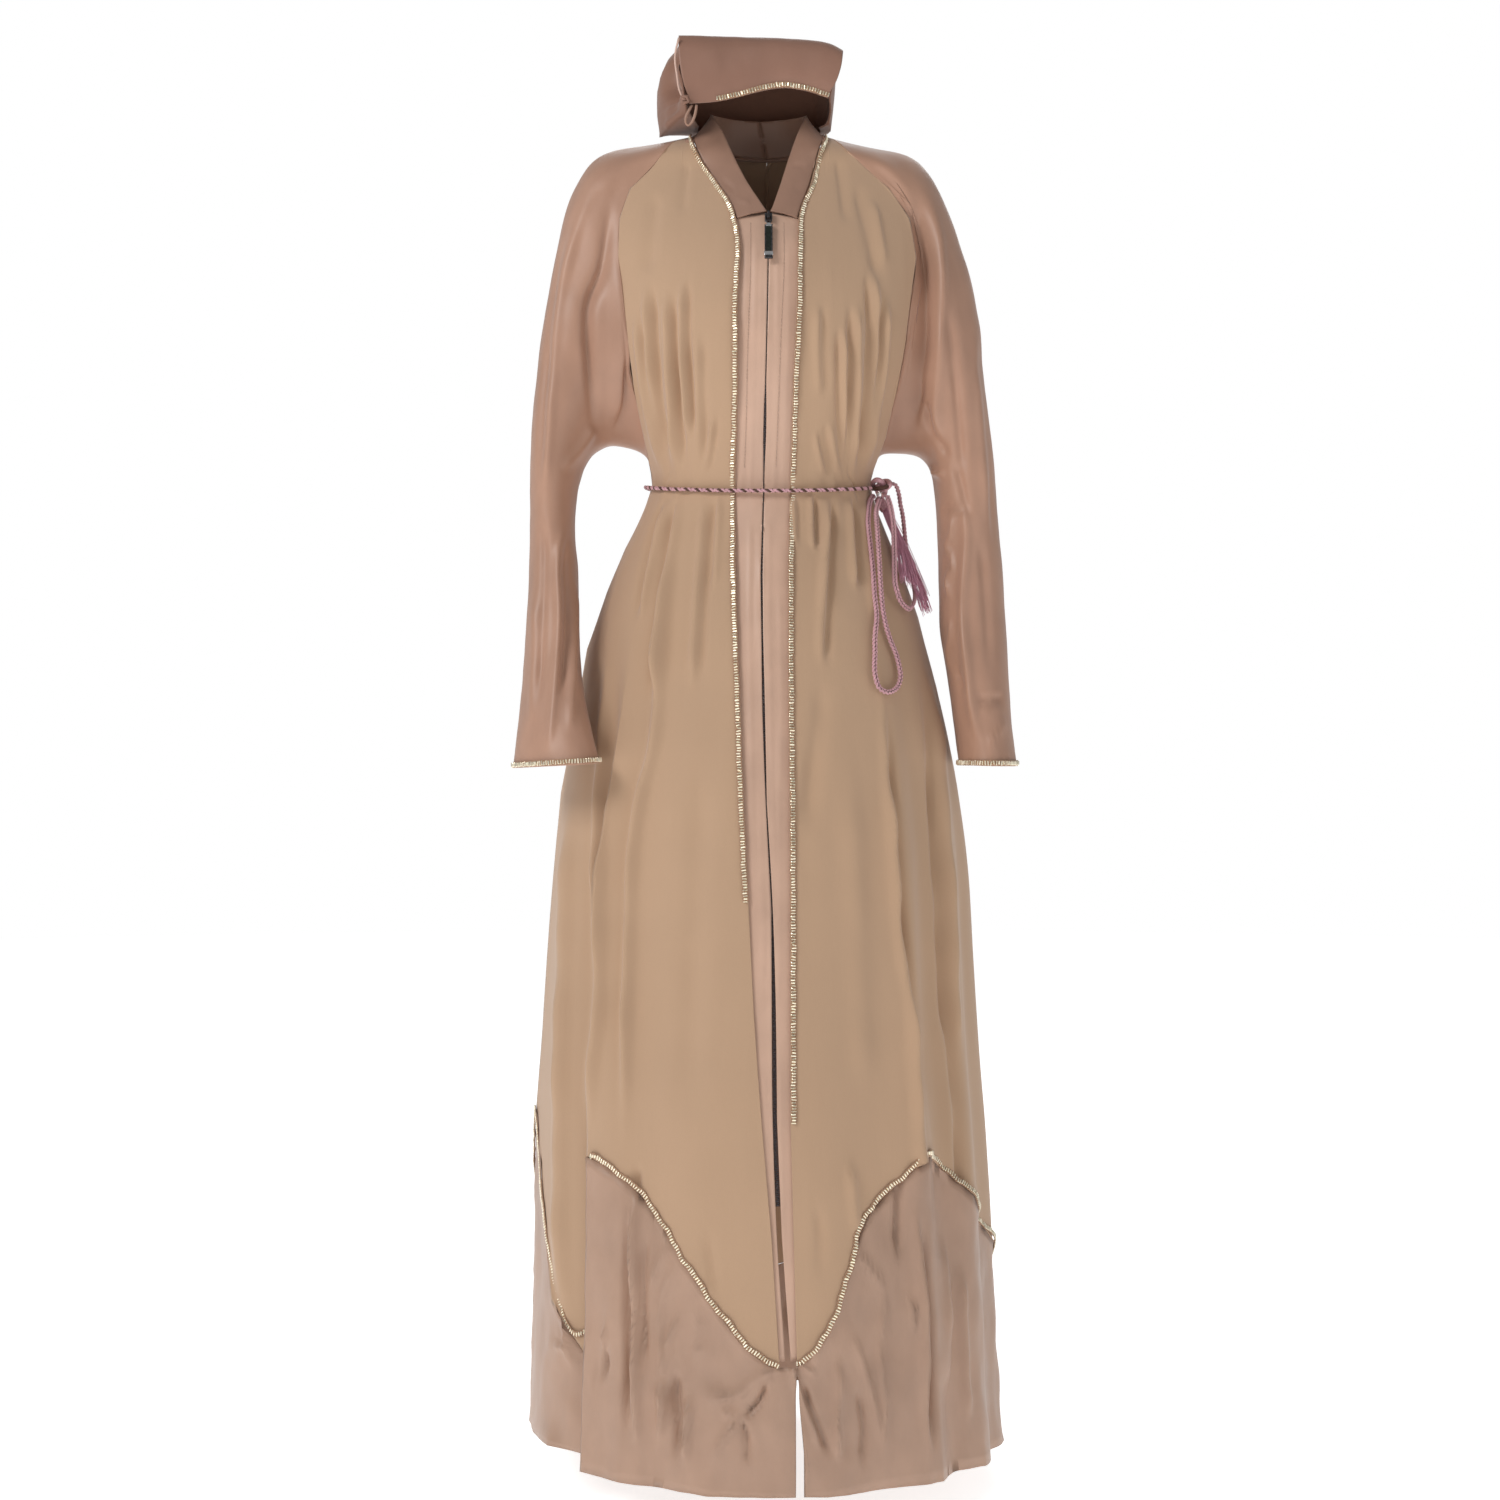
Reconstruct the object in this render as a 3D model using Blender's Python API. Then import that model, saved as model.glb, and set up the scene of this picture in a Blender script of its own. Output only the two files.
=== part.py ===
"""Zip-front abaya cloak with hood and belt, as sewn cloth walls round the hollow form it is worn in.

Tables are in millimetres and degrees, and the scene is in metres. The origin is the level of the neck
point, where shoulder and collar meet. -Y is the front and +X is the wearer's left. "drop" is the distance
below the origin, and "turn" is the angle round the body from the front centre, positive to +X.
"""

import math
from bisect import bisect_right
from collections import namedtuple

import bmesh
import bpy
from mathutils import Vector

MM = 0.001
SEAM = 0.3
CLOTH = 1.5
TRIM_WIDTH = 6.5
TRIM_WALL = 1.2
CUFF_TRIM_LIFT = 0.5
RIDGE = 40.0
WAIST = 402.0
WAIST_DIP = 14.0
NECK_DROP = 12.5
CORD = 6.5

Width = namedtuple("Width", "drop right_side left_side")
Depth = namedtuple("Depth", "drop front back")
Place = namedtuple("Place", "drop x")
Gap = namedtuple("Gap", "drop half")
Edge = namedtuple("Edge", "turn drop")
Fold = namedtuple("Fold", "top_turn low_turn start full end width push")
Lean = namedtuple("Lean", "turn shift push")
Ring = namedtuple("Ring", "outer_x outer_z outer_y inner_x inner_z inner_y front back bow rest")
Stand = namedtuple("Stand", "drop x y z")
Brim = namedtuple("Brim", "share top_x top_z low_x low_z")
Strand = namedtuple("Strand", "turn out drop")
Spot = namedtuple("Spot", "x y z")
Box = namedtuple("Box", "across out down wide thick long")

WIDTHS = (
    Width(0, 88.6, 69), Width(7, 120, 96), Width(15, 172, 131), Width(20, 190, 156),
    Width(27, 201, 174), Width(49, 217, 193), Width(72, 221, 199), Width(130, 215, 198),
    Width(187, 205, 191), Width(245, 192, 181), Width(302, 174, 166), Width(348, 150, 144),
    Width(392, 134, 121), Width(402, 132, 118), Width(418, 134, 120), Width(440, 146, 130),
    Width(486, 169, 150), Width(544, 192, 171), Width(590, 207, 184), Width(647, 216, 198),
    Width(740, 235, 217), Width(820, 243, 228), Width(935, 252, 233), Width(1050, 260, 239),
    Width(1121, 266, 246), Width(1263, 268, 254), Width(1395, 272, 259), Width(1500, 275, 266),
)
DEPTHS = (
    Depth(40, 55, 80), Depth(60, 66, 90), Depth(85, 80, 97), Depth(130, 105, 105),
    Depth(187, 126, 110), Depth(245, 134, 108), Depth(302, 126, 101), Depth(348, 113, 95),
    Depth(402, 102, 88), Depth(418, 100, 89), Depth(440, 106, 96), Depth(486, 126, 112),
    Depth(544, 143, 131), Depth(590, 153, 143), Depth(647, 165, 157), Depth(740, 182, 178),
    Depth(820, 192, 191), Depth(935, 206, 209), Depth(1050, 219, 225), Depth(1121, 226, 234),
    Depth(1263, 238, 249), Depth(1395, 246, 262), Depth(1500, 250, 270),
)
# Raglan seams, as distances from the centre line
RAGLAN = (
    Width(0, 88.6, 69), Width(9, 104, 77), Width(25, 116, 90), Width(45, 130, 110),
    Width(64, 152, 131), Width(86, 161, 152), Width(117, 168, 164), Width(150, 168, 168),
    Width(190, 165, 162), Width(248, 156, 155), Width(318, 147, 142), Width(370, 136, 129),
    Width(392, 132, 119),
)
# Inner edges of the front panels, as distances from the centre line
FRONT_EDGE = (
    Width(0, 86, 66), Width(33, 77, 56.5), Width(60, 61, 51), Width(84, 46.5, 44),
    Width(108, 36, 35), Width(126, 32, 33.5), Width(148, 30, 33), Width(210, 33, 32),
    Width(298, 33, 28), Width(414, 36, 25), Width(500, 36, 22.5), Width(628, 31.5, 22),
    Width(735, 28, 23), Width(824, 23, 23.5), Width(913, 19.5, 23.5), Width(1014, 14, 23.5),
    Width(1161, 1.5, 24), Width(1255, -7, 28), Width(1358, -12, 30),
)
BAND_EDGE = (
    Width(100, 44, 43), Width(160, 40, 41), Width(420, 44, 34), Width(640, 41, 32), Width(1358, 38, 38),
)
ZIP_LINE = (
    Place(112, 1), Place(166, 0.5), Place(343, -3), Place(416, -4), Place(541, -6.5),
    Place(613, -4.5), Place(699, -4.5), Place(772, -1.5), Place(860, 4), Place(972, 6),
    Place(1130, 7), Place(1260, 14), Place(1358, 21),
)
ZIP_OPENING = (
    Gap(112, 0.6), Gap(298, 0.6), Gap(345, 2.0), Gap(384, 0.6), Gap(500, 0.8), Gap(540, 2.8),
    Gap(575, 0.8), Gap(640, 0.6), Gap(665, 1.6), Gap(690, 0.6), Gap(860, 0.8), Gap(920, 2.2),
    Gap(1100, 2.6), Gap(1358, 3.0),
)
# How many rows above the panel's end each front trim stops
LEFT_TRIM_SHORT = 3
RIGHT_TRIM_SHORT = 5
# The placket strips run under the collar's slanted low edge and lie below the chiffon, the tape below them
BAND_TOP_OUTER = 110.4
BAND_TOP_INNER = 103.6
BAND_SECOND = 128
BAND_END = 1352
BAND_DEPTH = 2.7
BAND_SHARES = (0, 0.25, 0.62, 1)
TAPE_DROPS = (107, 150, 200, 250, 300, 350, 392, 416, 458, 510, 576, 661, 764, 877, 990, 1103, 1190)
TAPE_HALF = 12
TAPE_DEPTH = 4.8
TAPE_WALL = 1.2
# The pointed lower edge of the chiffon, from the centre back round the right side and on to the left
POINTED_EDGE = (
    Edge(-180, 1352), Edge(-158, 1290), Edge(-137, 1160), Edge(-118, 1320), Edge(-100, 1170),
    Edge(-90, 1121), Edge(-84, 1140), Edge(-79, 1200), Edge(-74, 1290), Edge(-69, 1348),
    Edge(-65, 1364), Edge(-61, 1340), Edge(-57, 1290), Edge(-53, 1245), Edge(-49, 1180),
    Edge(-46, 1147), Edge(-38, 1157), Edge(-33.7, 1173), Edge(-25.6, 1210), Edge(-21.8, 1241),
    Edge(-15.7, 1272), Edge(-10, 1308), Edge(-6.6, 1334), Edge(-2, 1354), Edge(2, 1358),
    Edge(7, 1356), Edge(11, 1340), Edge(16, 1313), Edge(19.5, 1262), Edge(22, 1225),
    Edge(28.7, 1190), Edge(33.6, 1174), Edge(43.7, 1145), Edge(56, 1178), Edge(67.7, 1220),
    Edge(82, 1257), Edge(104, 1330), Edge(122, 1240), Edge(137, 1160), Edge(158, 1290),
    Edge(180, 1352),
)
HEM = (
    Edge(-180, 1496), Edge(-110, 1490), Edge(-90, 1474), Edge(-70, 1470), Edge(-45, 1486),
    Edge(0, 1494), Edge(60, 1494), Edge(90, 1492), Edge(180, 1496),
)
# Vertical folds; a negative push is a valley
FOLDS = (
    Fold(-52, -34, 430, 900, 1600, 5.0, 7), Fold(-40, -25, 440, 1000, 1600, 5.5, -6),
    Fold(-72, -76, 640, 1000, 1600, 5.5, 8), Fold(-78, -84, 640, 1000, 1600, 5.0, -7),
    Fold(-28, -13, 900, 1350, 1600, 5.0, 4),
    Fold(40, 43, 460, 900, 1600, 5.0, 10), Fold(47, 51, 520, 1000, 1600, 5.0, -11),
    Fold(62, 63, 500, 950, 1600, 6.0, 9), Fold(72, 73, 560, 1000, 1600, 5.0, -8),
    Fold(26, 27, 560, 1200, 1600, 7.0, -5), Fold(16, 15, 900, 1350, 1600, 4.5, 4),
    Fold(84, 84, 560, 1000, 1600, 5.0, 6),
    Fold(-100, -104, 450, 1000, 1600, 6.0, 11), Fold(-119, -122, 450, 1000, 1600, 6.0, 13),
    Fold(-138, -140, 450, 1000, 1600, 6.0, 12), Fold(-156, -158, 450, 1000, 1600, 6.0, 12),
    Fold(-174, -175, 450, 1000, 1600, 5.0, 9), Fold(172, 173, 450, 1000, 1600, 5.0, 10),
    Fold(154, 155, 450, 1000, 1600, 6.0, 13), Fold(136, 137, 450, 1000, 1600, 6.0, 12),
    Fold(118, 119, 450, 1000, 1600, 6.0, 12), Fold(101, 102, 450, 1000, 1600, 5.5, 10),
    Fold(-47, -57, 250, 380, 470, 3.2, 4), Fold(-36, -46, 230, 370, 470, 3.2, 4),
    Fold(-58, -68, 270, 380, 470, 3.2, 3.5), Fold(38, 48, 230, 370, 470, 3.2, 4),
    Fold(50, 62, 250, 380, 470, 3.2, 4), Fold(27, 34, 270, 370, 470, 3.0, 3),
)
# The deep left pleat: where each place on the cloth moves to, round the body and in or out
PLEAT = (
    Lean(-90, 0, 0), Lean(-84, 4, 1), Lean(-74, 12, 3), Lean(-69, 14, -2), Lean(-65, 15, -7),
    Lean(-60, 16, -15), Lean(-56, 17, -24), Lean(-52.5, 15, -28), Lean(-49, 7, -12),
    Lean(-46, -1, 6), Lean(-42, -1, 4), Lean(-36, 0, 0),
)
PLEAT_START = 500
PLEAT_FULL = 1080
FOLD_LEAN_END = 1450
FOLD_FADE = 40

UPPER_DROPS = (1.5, 5, 12, 25, 44, 70, 105, 150, 200, 250, 300, 350, 392)
LOWER_STEPS = (0, 0.045, 0.1, 0.17, 0.26, 0.37, 0.49, 0.61, 0.73, 0.86)
BAND_LOW_STEPS = (*LOWER_STEPS, 0.93, 1)
RIGHT_COLUMNS = (
    0.07, 0.14, 0.22, 0.29, 0.35, 0.40, 0.44, 0.475, 0.51, 0.545, 0.58, 0.62, 0.67, 0.74, 0.82, 0.91, 1,
)
LEFT_COLUMNS = (
    0.06, 0.12, 0.18, 0.24, 0.30, 0.36, 0.42, 0.47, 0.52, 0.57, 0.62, 0.67, 0.73, 0.80, 0.87, 0.935, 1,
)
BACK_COLUMNS = 13
# Where the side seams are set out, and the most of a panel's top that its trim may take up
SEAM_DROP = 800
TRIM_SHARE = 0.4
FRONT_POINT_TURN = 4
# The back's rows follow the neck's curve down to the first of these, and run evenly round from the last
NECK_CURVE_END = 60
EVEN_FROM = 44
EVEN_FULL = 200

RIGHT_SLEEVE = (
    Ring(117, -6, 0, 134, -378, 0, 66, 66, 0.84, 0.95),
    Ring(147, -11, 0, 139, -369, 0, 68, 68, 0.67, 0.85),
    Ring(183, -15, 0, 151, -362, 0, 70, 68, 0.41, 0.65),
    Ring(207, -32, 0, 167, -358, 0, 71, 68, 0.24, 0.45),
    Ring(229, -72, 0, 181, -356, 0, 71, 68, 0.06, 0.25),
    Ring(242, -128, -2, 191, -361, -2, 70, 66, 0, 0.1),
    Ring(252, -187, -4, 201, -370, -4, 68, 64, 0, 0), Ring(261, -245, -8, 209, -383, -8, 65, 61, 0, 0),
    Ring(267, -302, -12, 215, -398, -12, 62, 58, 0, 0),
    Ring(270, -360, -17, 218, -417, -17, 58, 55, 0, 0),
    Ring(271, -417, -22, 220, -446, -22, 54, 52, 0, 0),
    Ring(270, -475, -28, 216.5, -486, -30, 52, 50, 0, 0),
    Ring(271.5, -532, -36, 213.5, -541, -42, 52, 48, 0, 0),
    Ring(274.5, -590, -50, 210.5, -596, -68, 52, 44, 0, 0),
    Ring(277, -642, -62, 204, -642, -94, 53, 40, 0, 0),
    Ring(281.5, -688, -74, 194, -684, -118, 54, 36, 0, 0),
    Ring(284, -725, -84, 184, -719, -142, 56, 34, 0, 0),
)
LEFT_SLEEVE = (
    Ring(95, -7, 0, 125, -374, 0, 64, 64, 0.84, 0.95),
    Ring(127, -14, 0, 130, -368, 0, 66, 66, 0.67, 0.85),
    Ring(158, -18, 0, 139, -366, 0, 68, 67, 0.41, 0.65),
    Ring(181, -32, 0, 150, -366, 0, 69, 67, 0.24, 0.45),
    Ring(203, -70, 0, 161, -366, 0, 69, 66, 0.06, 0.25),
    Ring(219, -118, -2, 172, -368, -2, 68, 65, 0, 0.1),
    Ring(231, -170, -4, 180, -373, -4, 66, 63, 0, 0), Ring(240, -222, -7, 186, -381, -7, 63, 60, 0, 0),
    Ring(248, -268, -10, 190, -394, -10, 60, 57, 0, 0),
    Ring(254, -325, -13, 192, -417, -13, 57, 54, 0, 0),
    Ring(260, -383, -17, 194, -446, -17, 54, 52, 0, 0),
    Ring(264, -440, -21, 195, -481, -21, 52, 50, 0, 0),
    Ring(268, -504, -26, 195, -530, -26, 52, 50, 0, 0),
    Ring(272, -567, -34, 196, -576, -34, 53, 50, 0, 0),
    Ring(273, -624, -42, 204, -624, -44, 56, 50, 0, 0),
    Ring(276, -676, -50, 210, -676, -54, 60, 50, 0, 0),
    Ring(281, -723, -58, 216, -722, -62, 64, 50, 0, 0),
)

# Standing inner edge of the collar, for each drop on the outer edge; the last four run round the back
RIGHT_COLLAR = (
    Stand(112, -1.2, -93, -104), Stand(105, -4, -90, -99), Stand(70, -22, -72, -69),
    Stand(44, -35, -56, -41), Stand(25, -44, -42, -18), Stand(12, -51, -32, 0), Stand(5, -57, -20, 12),
    Stand(1.5, -61, -12, 19), Stand(0, -65, 0, 26), Stand(0, -60, 25, 30), Stand(0, -38, 45, 30),
    Stand(0, -10, 52, 30),
)
LEFT_COLLAR = (
    Stand(112, 3.2, -93, -104), Stand(105, 5.5, -90, -99), Stand(70, 14.5, -72, -70),
    Stand(44, 22.5, -57, -42), Stand(25, 29, -43, -20), Stand(12, 34, -33, -5), Stand(5, 39, -20, 9),
    Stand(1.5, 43, -12, 17), Stand(0, 46, 0, 25), Stand(0, 41, 25, 29), Stand(0, 20, 45, 30),
    Stand(0, -9, 52, 30),
)
COLLAR_BACK = (0.97, 0.82, 0.5, 0)
COLLAR_CENTRE = Vector((-10, 10, -40))
COLLAR_GAP = 0.9
COLLAR_INSET = 0.97
COLLAR_DIP = 0.8
COLLAR_STEP_IN = 1.15
COLLAR_BACK_TURN = 1.4
COLLAR_BULGE = 2
# How far up the collar's lower half the hood starts
HOOD_SEAM_SHARE = 0.7

# The walking slit between the two halves of the satin skirt
RIGHT_SLIT = (Place(1358, 29), Place(1500, 29))
LEFT_SLIT = (Place(1358, 30), Place(1400, 33), Place(1500, 47))
SKIRT_STEPS = (0, 0.33, 0.67, 1)

# The hood's rings above the collar, each from its right front end round the back to its left front end
HOOD_RINGS = (
    (
        Spot(-90, -61, 15), Spot(-121, -10, -1), Spot(-119, 36, 10), Spot(-78, 70, 18),
        Spot(-12, 84, 20), Spot(45, 72, 16), Spot(70, 38, 12), Spot(73, 2, 9), Spot(70, -24, 9),
    ),
    (
        Spot(-95.5, -62, 50), Spot(-132, -14, 34), Spot(-124, 38, 44), Spot(-78, 78, 55),
        Spot(-12, 88, 60), Spot(50, 77, 56), Spot(76, 40, 52), Spot(79, 0, 50), Spot(77, -34, 50),
    ),
    (
        Spot(-98.5, -62, 80), Spot(-120, -18, 80), Spot(-104, 34, 88), Spot(-68, 64, 94),
        Spot(-10, 74, 97), Spot(46, 64, 94), Spot(73, 34, 88), Spot(81, 0, 82), Spot(81, -40, 78),
    ),
    (
        Spot(-99, -60, 94), Spot(-100, -18, 101), Spot(-86, 24, 106), Spot(-56, 46, 108),
        Spot(-8, 52, 109), Spot(40, 45, 106), Spot(65, 24, 101), Spot(76, 0, 95), Spot(82, -44, 85),
    ),
)
HOOD_COLUMNS = 12
HOOD_CENTRE = Vector((-10, 0, 50))
HOOD_FRONT = -58
# The satin brim folded over the hood's front: its top fold and its trimmed low edge, by share of its width
BRIM = (
    Brim(0, -99.5, 101, -88, 21), Brim(0.14, -76, 101, -61, 22.5), Brim(0.28, -50, 100.5, -37.5, 27),
    Brim(0.45, -18, 100, -5, 35.5), Brim(0.6, 10, 99, 18.6, 39), Brim(0.8, 48, 96.5, 47.8, 34),
    Brim(0.92, 74, 92, 61, 29.5), Brim(1, 85, 84, 68.5, 27),
)
BRIM_TOP_Y = -67
BRIM_LOW_Y = -71
BRIM_LAP = 0.12
FOLD_DIP = 3
CROWN_RISE = 2
BRIM_STEPS = (0.14, 0.34, 0.56, 0.78)
BRIM_BULGE = 4.5
BRIM_TRIM_FROM = 2
HOOD_TIE = (
    Spot(-84.5, -70.3, 20), Spot(-90, -71, 10), Spot(-93, -71, 2), Spot(-90.5, -70, -5),
    Spot(-86.5, -70, -3), Spot(-81.5, -71, 7), Spot(-79.5, -70.3, 20.2),
)
TIE_WIDTH = 4
TIE_SPACING = 7


def smooth(rows, at, column):
    """One column of a table at a value of its first column, on a curve that never overshoots a row."""
    keys = [row[0] for row in rows]
    values = [getattr(row, column) for row in rows]
    if at <= keys[0]:
        return values[0]
    if at >= keys[-1]:
        return values[-1]
    low = bisect_right(keys, at) - 1

    def secant(index):
        return (values[index + 1] - values[index]) / (keys[index + 1] - keys[index])

    def slope(index):
        if index == 0 or index == len(keys) - 1:
            return 0.0
        before = secant(index - 1)
        after = secant(index)
        return 2 * before * after / (before + after) if before * after > 0 else 0.0

    span = keys[low + 1] - keys[low]
    t = (at - keys[low]) / span
    start = values[low] * (1 + 2 * t) * (1 - t) ** 2 + slope(low) * span * t * (1 - t) ** 2
    return start + values[low + 1] * t * t * (3 - 2 * t) + slope(low + 1) * span * t * t * (t - 1)


def ramp(value, start, full):
    t = min(1, max(0, (value - start) / (full - start)))
    return t * t * (3 - 2 * t)


def half_width(turn, drop):
    return smooth(WIDTHS, drop, "left_side" if turn > 0 else "right_side")


def half_depth(turn, drop):
    below = max(drop, RIDGE)
    size = smooth(DEPTHS, below, "front" if abs(turn) <= 90 else "back")
    rounding = math.sqrt(max(0.0, 1 - ((RIDGE - min(drop, RIDGE)) / RIDGE) ** 2))
    return max(0.1, size * rounding)


def fold_push(turn, drop):
    """How far the folds stand out of the plain body at one place."""
    total = 0.0
    for fold in FOLDS:
        if drop <= fold.start:
            continue
        reach = ramp(drop, fold.start, FOLD_LEAN_END)
        centre = fold.top_turn + (fold.low_turn - fold.top_turn) * reach
        away = (turn - centre + 180) % 360 - 180
        if abs(away) > 3 * fold.width:
            continue
        size = ramp(drop, fold.start, fold.full) * (1 - ramp(drop, fold.end - FOLD_FADE, fold.end))
        total += fold.push * size * math.exp(-((away / fold.width) ** 2))
    return total


def body_point(turn, drop):
    """A point on the outer face of the garment's body, folds included."""
    pleat = ramp(drop, PLEAT_START, PLEAT_FULL)
    here = turn + smooth(PLEAT, turn, "shift") * pleat
    angle = math.radians(here)
    width = half_width(here, drop)
    depth = half_depth(here, drop)
    outward = Vector((math.sin(angle) / width, -math.cos(angle) / depth, 0)).normalized()
    push = fold_push(turn, drop) + smooth(PLEAT, turn, "push") * pleat
    return Vector((width * math.sin(angle), -depth * math.cos(angle), -drop)) + outward * push


def body_normal(turn, drop):
    drop = max(drop, 1.2)
    across = body_point(turn + 0.4, drop) - body_point(turn - 0.4, drop)
    down = body_point(turn, drop + 1) - body_point(turn, drop - 1)
    return down.cross(across).normalized()


def slide(turn, drop, distance):
    """The turn reached by going this far round the body from another turn."""
    per_degree = (body_point(turn + 0.5, drop) - body_point(turn - 0.5, drop)).length
    return turn + distance / per_degree


def turn_of(side, x, drop):
    """The turn at which the plain body is this far from the centre line, on the front."""
    width = half_width(side, drop)
    return side * math.degrees(math.asin(max(-1, min(1, x / width))))


def side_column(side):
    return "left_side" if side > 0 else "right_side"


def seam_turn(side, drop):
    return turn_of(side, smooth(RAGLAN, drop, side_column(side)), drop)


def edge_turn(side, drop, table=FRONT_EDGE):
    return turn_of(side, smooth(table, drop, side_column(side)), drop)


def waist_drop(turn):
    return WAIST + WAIST_DIP * max(0.0, math.cos(math.radians(turn)))


def clear_scene():
    for thing in list(bpy.data.objects):
        bpy.data.objects.remove(thing)


def material(name, colour, roughness, metallic=0.0):
    made = bpy.data.materials.get(name) or bpy.data.materials.new(name)
    made.use_nodes = True
    shader = made.node_tree.nodes["Principled BSDF"]
    shader.inputs["Base Color"].default_value = (*colour, 1)
    shader.inputs["Roughness"].default_value = roughness
    shader.inputs["Metallic"].default_value = metallic
    return made


CHIFFON_LOOK = ("chiffon", (0.47, 0.33, 0.23), 0.8)
SATIN_LOOK = ("satin", (0.42, 0.26, 0.19), 0.45)
TRIM_LOOK = ("beaded_trim", (0.62, 0.48, 0.3), 0.35, 0.5)
CORD_LOOK = ("belt_cord", (0.4, 0.22, 0.22), 0.5)
TASSEL_LOOK = ("tassel_thread", (0.46, 0.24, 0.28), 0.5)
SILVER_LOOK = ("silver", (0.7, 0.7, 0.68), 0.2, 1.0)
METAL_LOOK = ("dark_metal", (0.08, 0.08, 0.09), 0.3, 1.0)
TAPE_LOOK = ("zip_tape", (0.12, 0.09, 0.1), 0.6)


def make_solid(name, points, faces, look):
    """One named object from points in millimetres and faces, turned to face out."""
    mesh = bpy.data.meshes.new(name)
    mesh.from_pydata([tuple(point * MM) for point in points], [], faces)
    work = bmesh.new()
    work.from_mesh(mesh)
    bmesh.ops.recalc_face_normals(work, faces=work.faces)
    work.to_mesh(mesh)
    work.free()
    thing = bpy.data.objects.new(name, mesh)
    bpy.context.scene.collection.objects.link(thing)
    mesh.materials.append(material(*look))
    return thing


def grid_wall(name, outer, inner, look, ring=False):
    """A closed wall between two matching grids of points; a ring closes on itself along each row."""
    rows = len(outer)
    columns = len(outer[0])
    points = [point for row in outer for point in row] + [point for row in inner for point in row]
    offset = rows * columns

    def at(row, column, side):
        return side * offset + row * columns + column % columns

    def rim(first, second):
        return (at(*first, 0), at(*second, 0), at(*second, 1), at(*first, 1))

    faces = []
    for row in range(rows - 1):
        for column in range(columns if ring else columns - 1):
            for side in (0, 1):
                corners = [at(row, column, side), at(row, column + 1, side)]
                corners += [at(row + 1, column + 1, side), at(row + 1, column, side)]
                faces.append((corners[0], corners[1], corners[2]))
                faces.append((corners[0], corners[2], corners[3]))
    for column in range(columns if ring else columns - 1):
        for row in (0, rows - 1):
            faces.append(rim((row, column), (row, column + 1)))
    if not ring:
        for row in range(rows - 1):
            for column in (0, columns - 1):
                faces.append(rim((row, column), (row + 1, column)))
    return make_solid(name, points, faces, look)


def body_wall(name, places, out, wall, look):
    """A wall over a grid of (turn, drop) places, its outer face this far out of the body surface."""
    outer = []
    inner = []
    for row in places:
        normals = [body_normal(*place) for place in row]
        outer.append([body_point(*place) + normal * out for place, normal in zip(row, normals)])
        inner.append([body_point(*place) + normal * (out - wall) for place, normal in zip(row, normals)])
    return grid_wall(name, outer, inner, look)


def across_panel(edge, hem, last, shares):
    """Turns across a front panel: its edge, the trim's inner line, and on to its far side by shares."""
    return [edge] + [hem + (last - hem) * (share - shares[0]) / (1 - shares[0]) for share in shares]


def front_places(side):
    """(turn, drop) of every point of one front panel, by rows from the neck to the pointed edge."""
    shares = LEFT_COLUMNS if side > 0 else RIGHT_COLUMNS
    rows = []
    for drop in UPPER_DROPS:
        inner = edge_turn(side, drop)
        outer = seam_turn(side, drop)
        hem = slide(inner, drop, side * TRIM_WIDTH)
        hem = min(hem, inner + TRIM_SHARE * (outer - inner), key=abs)
        rows.append([(turn, drop) for turn in across_panel(inner, hem, outer, shares)])
    last = slide(side * 90, SEAM_DROP, -side * SEAM / 2)
    for step in (*LOWER_STEPS, None, 1):
        nominal = 1.0 if step is None else step
        row = []
        end_drop = smooth(POINTED_EDGE, side * FRONT_POINT_TURN, "drop")
        inner_drop = waist_drop(0) + (end_drop - waist_drop(0)) * nominal
        inner = edge_turn(side, inner_drop)
        hem = slide(inner, inner_drop, side * TRIM_WIDTH)
        for turn in across_panel(inner, hem, last, shares):
            top = waist_drop(turn)
            bottom = smooth(POINTED_EDGE, turn, "drop")
            row.append((turn, bottom - TRIM_WIDTH if step is None else top + (bottom - top) * nominal))
        rows.append(row)
    return rows


def back_places(side):
    """The same for one back panel, from the side seam to the centre back."""
    rows = []
    centre = slide(side * 180, SEAM_DROP, -side * SEAM / 2)
    for drop in UPPER_DROPS:
        seam = smooth(RAGLAN, drop, side_column(side))
        rise = max(0.0, NECK_DROP * (1 - drop / NECK_CURVE_END))
        even = ramp(drop, EVEN_FROM, EVEN_FULL)
        row = []
        for column in range(BACK_COLUMNS + 1):
            share = 1 - column / BACK_COLUMNS
            here = drop + rise * math.sqrt(1 - share * share)
            by_x = abs(turn_of(side, seam * share, here))
            by_turn = abs(seam_turn(side, drop)) * share
            turn = side * (180 - by_x * (1 - even) - by_turn * even)
            row.append((centre if column == BACK_COLUMNS else turn, here))
        rows.append(row)
    first = slide(side * 90, SEAM_DROP, side * SEAM / 2)
    for step in (*LOWER_STEPS, None, 1):
        row = []
        for column in range(BACK_COLUMNS + 1):
            turn = first + (centre - first) * column / BACK_COLUMNS
            top = waist_drop(turn)
            bottom = smooth(POINTED_EDGE, turn, "drop")
            row.append((turn, bottom - TRIM_WIDTH if step is None else top + (bottom - top) * step))
        rows.append(row)
    return rows


def skirt_places(turns, slit=None):
    """Satin skirt under one panel, from its pointed edge to the hem, beside the slit if it has one."""
    rows = []
    for step in SKIRT_STEPS:
        row = []
        for turn in turns:
            top = smooth(POINTED_EDGE, turn, "drop") + 2 * SEAM
            drop = top + (smooth(HEM, turn, "drop") - top) * step
            row.append((turn, drop))
        if slit:
            row[0] = (turn_of(1, smooth(slit, row[0][1], "x"), row[0][1]), row[0][1])
        rows.append(row)
    return rows


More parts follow.
